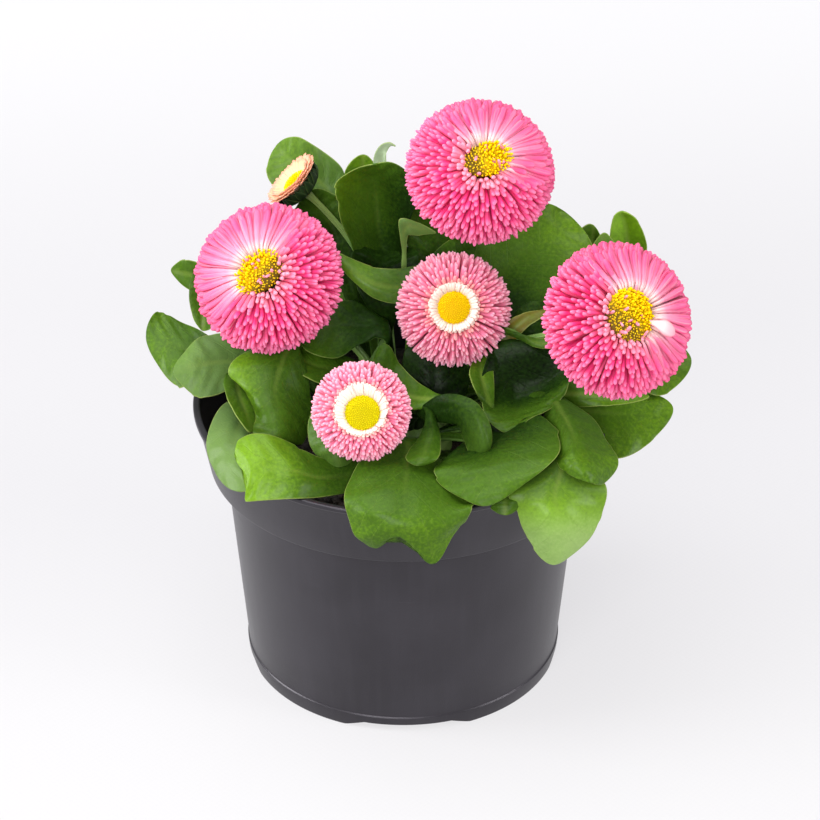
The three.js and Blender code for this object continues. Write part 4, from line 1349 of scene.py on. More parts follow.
        ((-38.8, -9, -29), (-38, -8.8, -28), (-36.5, -8.5, -26)),
    ), square=4.0, round_from=0.8, wave=0.4),
    Blade(None, 2, -100, (0.5, 0.22), 0.5, (
        ((8, 1, -20), (7, -1, -22), (5.5, -3.2, -23)), ((3.5, 4, -15), (1.5, 0.5, -18), (-0.5, -3, -21)),
        ((-0.5, 8, -9), (-3, 4.5, -12), (-5, 0, -15)), ((-3, 12.5, -6), (-5.5, 9.5, -9), (-8, 5, -12)),
        ((-4, 15, -4), (-6, 12.5, -6), (-8.5, 9, -9)),
    )),
    Blade(None, 1, -70, (0.2, 0.4), 0.5, (
        ((24, -22, -45), (26, -23, -46), (28, -22, -45)),
        ((21, -26, -47), (25.5, -27, -49), (30, -26, -48)),
        ((22, -29, -49), (25.5, -29.5, -50), (29, -29, -49)),
    )),
    Blade(None, 2, -52, (0.3, 0.6), 0.7, (
        ((20.5, -3, -22), (21.5, -2.5, -22), (22.7, -2, -21.5)),
        ((18, 1.5, -22), (20.5, 2, -20), (22.8, 2, -19)),
        ((16.5, 5.5, -17), (19.5, 6, -15), (22.6, 6, -14)),
        ((17, 8.5, -12), (19.5, 9.5, -10), (22.3, 10, -9)), ((18, 12, -7), (20, 13, -6), (22, 13, -6)),
    ), wave=0.3),
    Blade(None, 1, 33, (0.3, 0.48), 0.45, (
        ((44, 34, 32), (47, 33, 33), (50, 32, 32)), ((44, 40, 33), (47.5, 38, 35), (51, 36, 34)),
        ((44.5, 44, 34), (47.5, 43, 35), (50, 40.5, 35)),
    )),
    Blade(None, 0, 33, (0.6, 0.85), 0.2, (
        ((46, 32, 31), (50, 32, 31.5), (53, 32, 31)), ((46.8, 36.5, 31.5), (50, 37.5, 32), (53, 37, 31.5)),
        ((47.3, 38.8, 32), (50, 41, 32.5), (52.5, 40.5, 32)),
    )),
    Blade(None, 2, 5, (0.1, 0.34), 0.4, (
        ((27.5, 16.4, -10), (28, 15.8, -10), (28.3, 15, -10)),
        ((30.5, 15.5, -11), (31, 14.3, -12), (31.3, 13.1, -12)),
        ((34, 14.7, -11), (34.2, 13.4, -12.5), (34.4, 12.1, -13)),
        ((38.5, 14.5, -11), (38.5, 13.3, -12.5), (38.6, 12, -13)),
    ), square=5.0),
    Blade(None, 2, 70, (0.35, 0.75), 0.1, (
        ((-0.3, 33, 10), (0.2, 33, 9.8), (0.7, 33, 10)),
        ((-0.4, 36.5, 10), (0.2, 36.5, 9.7), (0.9, 36.5, 10)),
        ((-0.9, 40.5, 9.5), (0.1, 40.3, 9), (1.2, 40.2, 9.5)),
        ((-0.8, 44.6, 9), (1.2, 42.8, 8.6), (2.2, 40.4, 9)),
        ((3.8, 43.8, 9.5), (4.2, 42.2, 9.2), (4.6, 40.2, 9.5)),
        ((9, 41.6, 10), (8, 41, 10), (6.6, 40.3, 10)),
    ), wave=0.2),
    # A near-black leaf set deep among the others; its darkness is painted shade.
    Blade(None, 2, 105, (-0.3, 0.0), 0.5, (
        ((-12, 30, 8), (-5, 28, 9), (3, 29, 8)), ((-13, 35, 12), (-5, 33.5, 15), (4, 35, 12)),
        ((-12, 39, 16), (-5, 38, 22), (4, 39, 17)),
    )),
    Blade(None, 1, 112, (0.3, 0.6), 0.5, (
        ((-14.5, 51, 34), (-10.5, 51, 35), (-6, 51, 34)),
        ((-14.7, 56, 36), (-10.3, 56, 37), (-6.2, 56, 36)),
        ((-13.2, 59.8, 37), (-10, 60.6, 38), (-7.3, 59.8, 37)),
    ), square=3.0, round_from=0.4, wave=0.3),
    Blade(None, 1, 100, (1.6, 1.8), 0.0, (
        ((-7.5, 56, 36), (-5.8, 56, 36.5), (-4, 56, 36)),
        ((-7.3, 60, 37), (-5.8, 60, 37.5), (-4.3, 60, 37)),
        ((-5.8, 62.8, 38), (-4.9, 62.3, 38), (-4, 61.4, 38)),
        ((-3.5, 63.6, 38), (-3.3, 63.2, 38), (-3.1, 62.7, 38)),
        ((-1.9, 62.9, 38), (-1.9, 62.8, 38), (-1.9, 62.6, 38)),
    ), square=6.0, round_from=0.9, wave=0.1),
    Blade(None, 0, 160, (0.3, 0.5), 0.5, (
        ((-53.5, 28, 12), (-50, 27, 12), (-46, 26, 11)), ((-53.5, 24, 10), (-50, 23, 10), (-46, 22, 9)),
        ((-52.5, 19.5, 8), (-50, 19, 8), (-47, 18, 7)), ((-51.3, 16.8, 7), (-50, 16.5, 7), (-48, 16.3, 6)),
    ), wave=0.3),
    # A near-black leaf set deep among the others; its darkness is painted shade.
    Blade(None, 2, -80, (-0.3, -0.1), 0.5, (
        ((3, -3, -15.5), (8, -3.5, -16), (14, -3, -15.5)), ((0, 5, -11), (8, 5, -12.5), (17, 5, -11)),
        ((0.5, 12, -7), (8, 12, -8), (17, 12, -7)), ((4, 16, -4), (9, 17, -4), (14, 16, -4)),
    ), wave=0.6),
    # A near-black leaf set deep among the others; its darkness is painted shade.
    Blade(None, 2, 24, (-0.2, 0.02), 0.5, (
        ((24, 10, -2), (30, 10, -3), (38, 10, -2)), ((25, 17, 0), (31, 17.5, -1), (40, 17, 0)),
        ((28, 23, 3), (33, 24, 3), (40, 23, 3)),
    ), wave=0.6),
)


@dataclass(frozen=True)
class Foliage:
    """All the leaves, one piece each."""

    seed: int = 100

    def build(self) -> None:
        """Makes the leaves."""
        skin = LeafSkin().material()
        leaves = sorted((leaf for leaf in (*LEAVES, *BLADES) if leaf.number), key=lambda leaf: leaf.number)
        for leaf in leaves:
            number = f"{leaf.number:02d}"
            settle(
                self.form(leaf, f"spatulate_leaf_{number}", leaf.number - 1, skin),
                Slot.LEAF,
                f"leaf_{number}",
            )
        for index, leaf in enumerate(blade for blade in BLADES if not blade.number):
            settle(self.form(leaf, f"inner_leaf_{index + 1:02d}", len(leaves) + index, skin), Slot.LEAF)

    def form(self, leaf: Leaf | Blade, name: str, turn: int, skin: bpy.types.Material) -> bpy.types.Object:
        """Makes one leaf, the turn-th to draw its own waves."""
        body = Sculpture("blade", "tone")
        leaf.sculpt(body, self.seed + turn)
        return body.build(name, skin)


def around_axis(azimuth: Array) -> Array:
    """Unit vectors away from a head's axis in the given directions."""
    return np.column_stack([np.cos(azimuth), np.sin(azimuth), np.zeros(len(azimuth))])


def tubes(
    control: Array, side: Array, half: Array, thick: Array, channel: Array, t: Array, points: int
) -> Array:
    """Rings of many thin bodies along cubic curves.

    Args:
        control: control points, as (bodies, 4, 3).
        side: direction of each body's width, as (bodies, 3).
        half: half widths, as (bodies, stations).
        thick: half thicknesses, likewise.
        channel: rise of the edges, likewise.
        t: stations along the curves.
        points: points round each ring.

    Returns:
        The rings, as (bodies, stations, points, 3).
    """
    path, along = bezier(control, t)
    side = np.broadcast_to(side[:, None], path.shape)
    side = unit(side - along * (side * along).sum(-1, keepdims=True))
    face = np.cross(side, along)
    turn = turns(points)
    wide = half[..., None] * np.cos(turn)
    high = thick[..., None] * np.sin(turn) + channel[..., None] * np.cos(turn) ** 2
    return path[:, :, None] + side[:, :, None] * wide[..., None] + face[:, :, None] * high[..., None]


def petal_marks(
    shape: tuple[int, ...], t: Array, draw: np.random.Generator, opened: Array, pale: Array
) -> dict[str, Array]:
    """Marks of a set of petals: place along and across, a chance number, and how open and pale each is."""
    bodies, _, points, _ = shape
    petal = np.zeros(shape)
    petal[..., 0] = t[None, :, None]
    petal[..., 1] = np.cos(turns(points))
    petal[..., 2] = draw.uniform(0, 1, bodies)[:, None, None]
    bloom = np.zeros(shape)
    bloom[..., 0] = opened[:, None, None]
    bloom[..., 1] = pale[:, None, None]
    return {"petal": petal, "bloom": bloom}


@dataclass(frozen=True)
class Ranks:
    """Petal ranks of one kind of head, in millimetres and in degrees from the head's axis.

    count petals have their tips between the angles first and last. start is how far outside the disc they
    begin, and lean the angle at which the first ones arrive. half and thick are a quill's half width and half
    thickness, and strap is the half width of an opened petal. openness is how far petals open. florets is the
    size of a disc floret, crowd how much closer petals stand at the rim, sink how deep the disc lies, and
    collar the number of cream petals in one row round it.
    """

    count: int
    first: float
    last: float
    start: float
    lean: float
    half: float
    thick: float
    strap: float
    openness: float
    florets: float
    crowd: float
    sink: float
    collar: int = 0


class Bloom(Enum):
    """Kinds of head."""

    POMPON = Ranks(
        count=940, first=2.0, last=106.0, start=-0.2, lean=52.0, half=0.56, thick=0.47, strap=0.92,
        openness=1.0, florets=0.31, crowd=0.9, sink=0.4,
    )
    BUTTON = Ranks(
        count=640, first=6.0, last=103.0, start=0.9, lean=54.0, half=0.43, thick=0.37, strap=0.46,
        openness=0.15, florets=0.26, crowd=0.5, sink=0.0, collar=44,
    )
    BUD = Ranks(
        count=126, first=52.0, last=80.0, start=1.2, lean=18.0, half=0.6, thick=0.16, strap=0.6,
        openness=1.0, florets=0.26, crowd=0.0, sink=2.2,
    )


@dataclass(frozen=True)
class Disc:
    """Yellow middle: its stretch, which way that runs, where its open florets are, and stray petals."""

    stretch: float = 1.0
    run: float = 0.0
    fresh_at: float = 0.0
    fresh: float = 2.0
    strays: int = 0
    shift: tuple[float, float] = (0.0, 0.0)


@dataclass(frozen=True)
class Flower:
    """One flower: its head's place and sizes as in the frame, its stem, and how its petals stand."""

    name: str
    centre: Point
    radius: float
    disc: float
    dome: float
    cup: float
    turn: float
    elevation: float
    stem_base: float
    lean: float
    rise: float
    run: float
    bloom: Bloom
    seed: int
    open_at: float = 0.0
    open_spread: float = 70.0
    middle: Disc = Disc()
    tongue: float | None = None

    stem_radius = 1.1
    gap = 0.3
    sunk = 0.3

    @property
    def facing(self) -> Array:
        """Unit direction that the head faces."""
        turn, up = math.radians(self.turn), math.radians(self.elevation)
        return np.array([math.sin(turn) * math.cos(up), -math.cos(turn) * math.cos(up), math.sin(up)])

    @property
    def origin(self) -> Array:
        """Origin of the head's own frame, at its petals' rim."""
        return np.array(self.centre) - self.facing * self.dome * self.sunk

    @property
    def cup_top(self) -> float:
        """Highest level of the green cup in the head's frame."""
        return -self.dome * self.sunk - self.gap

    @property
    def cup_bottom(self) -> float:
        """Lowest level of the green cup in the head's frame."""
        return self.cup_top - self.cup * (0.44 if self.bloom is Bloom.BUD else 0.62)

    def frame(self) -> Array:
        """Rotation from the head's own frame to the plant's, as a 3 by 3 array."""
        turn = Vector((0, 0, 1)).rotation_difference(Vector(self.facing))
        return np.array(turn.to_matrix())

    def place(self, rings: Array) -> Array:
        """Moves points from the head's frame to the plant's."""
        return rings @ self.frame().T + self.origin

    def clock(self, angle: float) -> float:
        """Direction round the head, in radians, of an angle in degrees clockwise from the top."""
        local = self.frame().T @ np.array([0, 0, 1.0])
        return math.atan2(local[1], local[0]) - math.radians(angle)

    def ray_florets(self, skin: bpy.types.Material) -> None:
        """Makes the petals."""
        draw = np.random.default_rng(self.seed)
        rays = Sculpture("petal", "bloom")
        if self.bloom is Bloom.BUD:
            self.bowl(rays, draw)
        else:
            self.quills(rays, draw)
        if self.bloom is Bloom.BUTTON:
            self.collar(rays, draw)
        if self.tongue is not None:
            self.add_tongue(rays, draw)
        self.add_strays(rays, draw)
        slot = Slot.BUD if self.bloom is Bloom.BUD else Slot.RAY
        settle(rays.build(f"{self.name}_petals", skin), slot, f"{self.name}_ray_florets")

    def bowl(self, rays: Sculpture, draw: np.random.Generator) -> None:
        """Adds the petals of the half-open bud: three ranks of straps in a shallow bowl round the disc."""
        ranks = self.bloom.value
        count = ranks.count
        rank = np.arange(count) % 3
        azimuth = (np.arange(count) + draw.normal(0, 0.25, count)) * math.tau / count
        out = around_axis(azimuth)
        tip_radius = self.radius * np.array([1.0, 0.93, 0.76])[rank] * draw.normal(1, 0.015, count)
        tip_level = np.array([1.5, 2.1, 2.2])[rank] + draw.normal(0, 0.12, count)
        base = out * (self.disc * 1.02) + AXIS * (np.array([-1.0, -0.6, -0.2])[rank])[:, None]
        tip = out * tip_radius[:, None] + AXIS * tip_level[:, None]
        gap = np.linalg.norm(tip - base, axis=1)[:, None]
        leave, arrive = out * 0.8 + AXIS * 0.6, out * 0.9 + AXIS * 0.3
        control = np.stack([base, base + leave * gap * 0.33, tip - arrive * gap * 0.33, tip], axis=1)
        t = np.array([0, 0.25, 0.5, 0.7, 0.85, 0.95, 0.995])
        end = blunt(t, 0.8)
        half = np.broadcast_to(ranks.half * (0.5 + 0.5 * smooth(0, 0.8, t)) * end, (count, len(t)))
        thick = np.broadcast_to(ranks.thick * end, half.shape)
        rings = tubes(control, around_axis(azimuth + math.pi / 2), half, thick, half * 0.15, t, 8)
        marks = petal_marks(rings.shape, t, draw, np.ones(count), np.zeros(count))
        rays.skin(self.place(rings), **marks)

    def quills(self, rays: Sculpture, draw: np.random.Generator) -> None:
        """Adds the quilled petals, and the opened ones of a pompon's open side."""
        ranks = self.bloom.value
        count = ranks.count
        index = np.arange(count)
        spread = (index + 0.5) / count
        azimuth = index * GOLDEN_ANGLE + draw.normal(0, 0.035, count)
        inner = self.disc + ranks.start
        reach = self.radius - inner
        grid = np.radians(np.linspace(ranks.first, ranks.last, 240))
        crowd = 1 + ranks.crowd * smooth(math.radians(62), math.radians(88), grid)
        slope = np.hypot(reach * np.cos(grid), self.dome * np.sin(grid))
        area = np.cumsum((inner + reach * np.sin(grid)) * slope * crowd)
        quill_tip = np.interp(spread, area / area[-1], grid)
        off = np.abs((azimuth - self.clock(self.open_at) + math.pi) % math.tau - math.pi)
        width = math.radians(self.open_spread)
        opened = smooth(width + 0.4, width - 0.3, off + draw.normal(0, 0.16, count))
        opened = opened * np.where(draw.uniform(size=count) < 0.05, 0.75, 1.0)
        strap_tip = np.radians(54 + (ranks.last - 54) * spread**0.62)
        tip_at = quill_tip + (strap_tip - quill_tip) * opened * (self.bloom is Bloom.POMPON)
        opened = opened * ranks.openness
        tip_at = tip_at + draw.normal(0, 0.03, count)
        out = around_axis(azimuth)
        sine, cosine = np.sin(tip_at), np.cos(tip_at)
        stretch = draw.normal(1, 0.016, count)
        tips = out * ((inner + reach * sine) * stretch)[:, None]
        tips = tips + AXIS * (self.dome * (0.05 + 0.95 * cosine) * stretch)[:, None]
        base_r = self.disc * 0.92 + 0.9 * spread - 0.3 * opened
        base_z = self.dome - 2.2 - (self.dome + 0.4) * spread
        base_z = base_z + opened * (1.3 + (self.dome - 3.0) * spread * 0.8)
        bases = out * base_r[:, None] + AXIS * base_z[:, None]
        gap = np.linalg.norm(tips - bases, axis=1)[:, None]
        places, angles = (ranks.first, 90, ranks.last), (ranks.lean, 90, 101)
        landing = np.radians(np.interp(np.degrees(tip_at), places, angles))
        landing = landing + (np.radians(93) - landing) * opened
        arrive = out * np.sin(landing)[:, None] + AXIS * np.cos(landing)[:, None]
        starting = np.radians(12 + 70 * spread + 46 * opened * (1 - spread))
        leave = out * np.sin(starting)[:, None] + AXIS * np.cos(starting)[:, None]
        control = np.stack([bases, bases + leave * gap * 0.36, tips - arrive * gap * 0.34, tips], axis=1)
        normal = out * sine[:, None] + AXIS * cosine[:, None]
        twist = draw.normal(0, 0.26, count) * (1 - 0.35 * opened)
        side = unit(around_axis(azimuth + math.pi / 2) + normal * twist[:, None])
        t = np.array([0, 0.22, 0.42, 0.6, 0.74, 0.85, 0.925, 0.972, 0.997])
        end = blunt(t, 0.87, 2.4)
        quill = (0.55 + 0.45 * smooth(0.2, 0.85, t)) * end
        strap = (0.42 + 0.58 * smooth(0.1, 0.8, t)) * end
        girth = draw.normal(1, 0.08, count)[:, None]
        half = (ranks.half * quill + (ranks.strap * strap - ranks.half * quill) * opened[:, None]) * girth
        thick = (ranks.thick + (0.15 - ranks.thick) * opened)[:, None] * quill
        channel = half * (0.06 + 0.2 * opened[:, None])
        rings = tubes(control, side, half, thick, channel, t, 7)
        inner_share = smooth(34, ranks.first, np.degrees(tip_at))
        rays.skin(self.place(rings), **petal_marks(rings.shape, t, draw, opened, inner_share))

    def collar(self, rays: Sculpture, draw: np.random.Generator) -> None:
        """Adds the short cream petals that ring the disc, in two close rows."""
        ranks = self.bloom.value
        count = ranks.collar * 2
        azimuth = np.arange(count) * math.tau / count + draw.normal(0, 0.02, count)
        row = np.arange(count) % 2
        out = around_axis(azimuth)
        length = ranks.start + 0.95
        x, y = self.spots(np.zeros(1), np.zeros(1))
        base = out * (self.disc - 0.5) + AXIS * (self.dome - 1.7) + [x[0], y[0], 0]
        tip = out * (self.disc + length + 0.4 * row + draw.normal(0, 0.12, count))[:, None]
        tip = tip + AXIS * (self.dome + 0.35 - 0.55 * row + draw.normal(0, 0.08, count))[:, None]
        control = np.stack(
            [base, base + AXIS * 1.3 + out * 0.25, tip - out * length * 0.45 + AXIS * 0.15, tip], axis=1
        )
        t = np.array([0, 0.25, 0.5, 0.7, 0.85, 0.95, 0.995])
        end = blunt(t, 0.8)
        wide = math.pi * (self.disc + 1.0) / ranks.collar * 1.3
        half = np.broadcast_to(wide * (0.7 + 0.3 * t) * end, (count, len(t)))
        thick = np.broadcast_to(0.1 * end, (count, len(t)))
        rings = tubes(control, around_axis(azimuth + math.pi / 2), half, thick, half * 0.25, t, 8)
        rays.skin(
            self.place(rings), **petal_marks(rings.shape, t, draw, np.zeros(count), np.full(count, 2.0))
        )

    def add_tongue(self, rays: Sculpture, draw: np.random.Generator) -> None:
        """Adds one broad pale petal that lies over the others."""
        out = around_axis(np.array([self.clock(self.tongue)]))
        start = out * (self.disc * 0.7) + AXIS * (self.dome - 0.2)
        tip = out * (self.disc + 5.6) + AXIS * (self.dome * 0.88)
        control = np.stack([start, start + out * 3 + AXIS * 1.4, tip - out * 4 + AXIS * 2.2, tip], axis=1)
        t = np.array([0, 0.15, 0.3, 0.45, 0.6, 0.74, 0.85, 0.93, 0.98, 0.999])
        wide = (1.9 * (0.3 + 0.7 * smooth(0.0, 0.62, t)) * blunt(t, 0.72, 2.2))[None]
        thick = 0.22 * wide / wide.max() + 0.03
        side = around_axis(np.array([self.clock(self.tongue - 90)]))
        rings = tubes(control, side, wide, thick, wide * 0.12, t, 14)
        rays.skin(self.place(rings), **petal_marks(rings.shape, t * 0.3, draw, np.ones(1), np.zeros(1)))

    def add_strays(self, rays: Sculpture, draw: np.random.Generator) -> None:
        """Adds the few short petals that stand amid the disc florets."""
        count = self.middle.strays
        if not count:
            return
        across, down = self.spots(draw.uniform(0.05, 0.95, count), draw.uniform(0, math.tau, count))
        foot = np.column_stack([across, down, np.full(count, self.dome - 1.2 - self.bloom.value.sink)])
        lean = unit(np.column_stack([draw.normal(0, 0.4, (count, 2)), np.ones(count)]))
        tip = foot + lean * draw.uniform(2.4, 3.6, count)[:, None]
        control = np.stack([foot, foot + lean * 0.8, tip - lean * 0.8, tip], axis=1)
        t = np.array([0, 0.3, 0.6, 0.8, 0.93, 0.995])
        half = np.broadcast_to(0.42 * blunt(t, 0.75), (count, len(t)))
        rings = tubes(control, unit(draw.normal(0, 1, (count, 3))), half, half * 0.7, half * 0, t, 8)
        rays.skin(
            self.place(rings), **petal_marks(rings.shape, t, draw, np.zeros(count), np.full(count, 0.9))
        )

    def spots(self, spread: Array, azimuth: Array) -> tuple[Array, Array]:
        """Places in the disc: shares of its area and directions to millimetres across it."""
        middle = self.middle
        reach = self.disc * np.sqrt(spread)
        along = math.sqrt(middle.stretch)
        first, second = reach * np.cos(azimuth) * along, reach * np.sin(azimuth) / along
        axis, up = self.clock(middle.run), self.clock(0)
        right, rise = middle.shift
        x = first * math.cos(axis) - second * math.sin(axis) + right * math.sin(up) + rise * math.cos(up)
        y = first * math.sin(axis) + second * math.cos(axis) - right * math.cos(up) + rise * math.sin(up)
        return x, y

    def disc_florets(self, pollen: bpy.types.Material) -> None:
        """Makes the yellow disc: a low mound set with tiny florets."""
        draw = np.random.default_rng(self.seed + 1)
        middle = self.middle
        mixed = self.bloom is Bloom.POMPON
        size = self.bloom.value.florets
        count = int((self.disc / size) ** 2 * (0.8 if mixed else 1.0))
        spread = (np.arange(count) + 0.5) / count
        azimuth = np.arange(count) * GOLDEN_ANGLE + draw.normal(0, 0.03, count)
        x, y = self.spots(spread, azimuth)
        toward = self.clock(middle.fresh_at)
        lean_in = (x * math.cos(toward) + y * math.sin(toward)) / self.disc
        ripe = smooth(-0.35, 0.35, lean_in + draw.normal(0, 0.16, count) + middle.fresh)
        top = self.dome - 0.7 - self.bloom.value.sink
        height = top + 1.6 * np.sqrt(np.clip(1 - spread * 0.98, 0, 1))
        foot = np.column_stack([x, y, height - 1.3])
        out = around_axis(azimuth)
        lean = unit(
            AXIS + out * (0.6 * np.sqrt(spread))[:, None] + draw.normal(
                0, 0.14 if mixed else 0.02, (count, 3)
            )
        )
        tall = 1.2 + (draw.uniform(0.1, 1.3, count) * ripe if mixed else draw.uniform(0, 0.1, count))
        tip = foot + lean * tall[:, None]
        control = np.stack(
            [foot, foot + lean * tall[:, None] / 3, tip - lean * tall[:, None] / 3, tip], axis=1
        )
        t = np.array([0, 0.4, 0.66, 0.84, 0.95, 1.0])
        shape = np.array([0.6, 0.75, 0.95, 1.0, 0.75, 0.25])
        girth = size * (0.62 + 0.28 * ripe if mixed else 0.56) * draw.normal(1, 0.06, count)
        half = shape[None] * girth[:, None]
        rings = tubes(control, around_axis(azimuth + math.pi / 2), half, half, half * 0, t, 7)
        florets = Sculpture("petal", "bloom")
        florets.skin(
            self.place(rings), **petal_marks(rings.shape, t, draw, np.full(count, float(mixed)), 1 - ripe)
        )
        turn = turns(36)
        mound, tint = [], []
        sides = len(turn)
        for share in (0.3, 1.0, 0.99, 0.85, 0.6, 0.3, 0.05):
            level = top - 0.55 + 1.45 * math.sqrt(1 - share**2) if len(mound) > 1 else top - 1.7
            x, y = self.spots(np.full(sides, share**2 * 1.06), turn)
            mound.append(np.column_stack([x, y, np.full(sides, level)]))
            lean_in = (x * math.cos(toward) + y * math.sin(toward)) / self.disc
            ripe = smooth(-0.35, 0.35, lean_in + middle.fresh)
            tint.append(np.column_stack([np.full(sides, float(mixed)), 1 - ripe, np.zeros(sides)]))
        # The mound's along mark of 0.3 gives it the full painted shade between the florets.
        florets.skin(
            self.place(np.array(mound)[None]), petal=np.array([0.3, 0, 0.5]), bloom=np.array(tint)[None]
        )
        settle(florets.build(f"{self.name}_disc", pollen), Slot.DISC, f"{self.name}_disc_florets")

    def involucre(self, skin: bpy.types.Material) -> None:
        """Makes the green cup: a knob with two ranks of bracts."""
        draw = np.random.default_rng(self.seed + 2)
        count = 26
        row = np.arange(count) % 2
        azimuth = np.arange(count) * math.tau / count + draw.normal(0, 0.03, count)
        out = around_axis(azimuth)
        bottom = self.cup_bottom
        edge = self.cup_top
        hug = self.bloom is Bloom.BUD
        reach = self.cup * (1.18 if hug else 1.2)
        tip_z = edge + (1.9 if hug else -0.3)
        base = out * 1.0 + AXIS * (bottom + 0.2)
        top = tip_z + 0.15 * row + draw.normal(0, 0.15, count)
        tip = out * (reach - 0.5 * row)[:, None] + AXIS * top[:, None]
        middle = out * (self.cup * 0.78) + AXIS * (bottom + 0.3)
        late = out * (self.cup * 1.05) + AXIS * (edge - 1.2)
        control = np.stack([base, middle, late, tip], axis=1)
        t = np.array([0, 0.15, 0.32, 0.5, 0.66, 0.8, 0.91, 0.98, 1.0])
        body = np.array([0.3, 0.55, 0.8, 1.0, 1.0, 0.82, 0.5, 0.2, 0.06])
        half = np.broadcast_to(self.cup * 0.2 * body, (count, len(t)))
        thick = np.broadcast_to(0.28 * np.sqrt(body), (count, len(t)))
        rings = tubes(control, around_axis(azimuth + math.pi / 2), half, thick, half * 0.12, t, 8)
        cup = Sculpture("petal", "bloom")
        cup.skin(self.place(rings), **petal_marks(rings.shape, t, draw, np.zeros(count), np.zeros(count)))
        turn = turns(40)
        shoulder = 1.1 if hug else 0.0
        knob = [
            (0.4, bottom),
            (1.3, bottom + 0.15),
            (self.cup * 0.55, bottom + self.cup * 0.16),
            (self.cup * 0.85, edge - self.cup * 0.2),
            (self.cup * 0.92, edge - 0.2 + shoulder),
            (self.cup * 0.55, edge - 0.1 + shoulder * 0.3),
        ]
        if not hug:
            top = self.dome - 2.5 - self.bloom.value.sink
            knob += [(self.disc * 0.86, edge + 0.8), (self.disc * 0.86, top - 0.1), (0.6, top)]
        rings = [hoop(radius, level, turn) for radius, level in knob]
        cup.skin(self.place(np.array(rings)[None]), petal=np.array([0.5, 0.4, 0.5]), bloom=np.zeros(3))
        settle(cup.build(f"{self.name}_bracts", skin), Slot.BRACT, f"{self.name}_involucre")

    def stem(self, skin: bpy.types.Material) -> None:
        """Makes the flower's stem."""
        start, grown = growth(STEM_TIER, self.stem_base, self.lean)
        neck = self.origin + self.facing * (self.cup_bottom - 0.1)
        control = np.array([start, start + grown * self.rise, neck - self.facing * self.run, neck])
        t = np.linspace(0, 1, 60)
        turn = turns(18)
        path, along = bezier(control, t)
        side = np.cross(along[0], [1.0, 0.3, 0.1])
        rings = []
        for row, forward in enumerate(along):
            side = unit(side - forward * (side @ forward))
            other = np.cross(forward, side)
            swell = 1 + 0.25 * smooth(0.12, 0, t[row]) + 0.3 * smooth(0.95, 1.0, t[row])
            swell -= 0.3 * (self.bloom is Bloom.BUD)
            reach = (self.stem_radius * swell * (1 + 0.05 * np.sin(7 * turn)))[:, None]
            rings.append(path[row] + reach * (side * np.cos(turn)[:, None] + other * np.sin(turn)[:, None]))
        marks = np.zeros((1, len(t), len(turn), 3))
        marks[..., 0] = turn / math.tau
        marks[..., 1] = t[None, :, None]
        tube = Sculpture("stalk")
        tube.skin(np.array(rings)[None], stalk=marks)
        settle(tube.build(f"{self.name}_stalk", skin), Slot.STEM, f"{self.name}_stem")


ROSE = PetalSkin(
    "rose_petals",
    quill=((0.8, 0.11, 0.26), (0.76, 0.008, 0.12), (0.86, 0.05, 0.26), (0.93, 0.28, 0.52)),
    strap=((0.95, 0.8, 0.78), (0.89, 0.34, 0.52), (0.86, 0.15, 0.36), (0.82, 0.11, 0.31)),
)
BLUSH = PetalSkin(
    "blush_petals",
    quill=((0.98, 0.46, 0.36), (0.94, 0.2, 0.34), (0.95, 0.27, 0.45), (0.97, 0.6, 0.72)),
    strap=((0.98, 0.6, 0.5), (0.98, 0.3, 0.46), (0.98, 0.3, 0.52), (1.0, 0.55, 0.72)),
    pale=(0.98, 0.48, 0.38),
    through=(1.0, 0.3, 0.5),
)
BUD_TINT = PetalSkin(
    "bud_petals",
    quill=((0.97, 0.88, 0.6), (0.97, 0.8, 0.5), (0.9, 0.4, 0.3), (0.85, 0.26, 0.24)),
    strap=((0.95, 0.86, 0.5), (0.95, 0.8, 0.48), (0.93, 0.62, 0.38), (0.8, 0.3, 0.22)),
    through=(1.0, 0.6, 0.4),
)
# The last colour of AMBER and LEMON is the painted shade between their florets; GOLD keeps the default.
GOLD = DiscPollen("gold_disc", (0.95, 0.74, 0.0), (0.92, 0.56, 0.0), (0.62, 0.46, 0.02))
AMBER = DiscPollen("amber_disc", (0.95, 0.76, 0.0), (0.92, 0.64, 0.0), (0.7, 0.5, 0.02), (0.7, 0.4, 0.0))
LEMON = DiscPollen("lemon_disc", (0.82, 0.77, 0.0), (0.76, 0.66, 0.0), (0.6, 0.52, 0.02), (0.5, 0.42, 0.0))

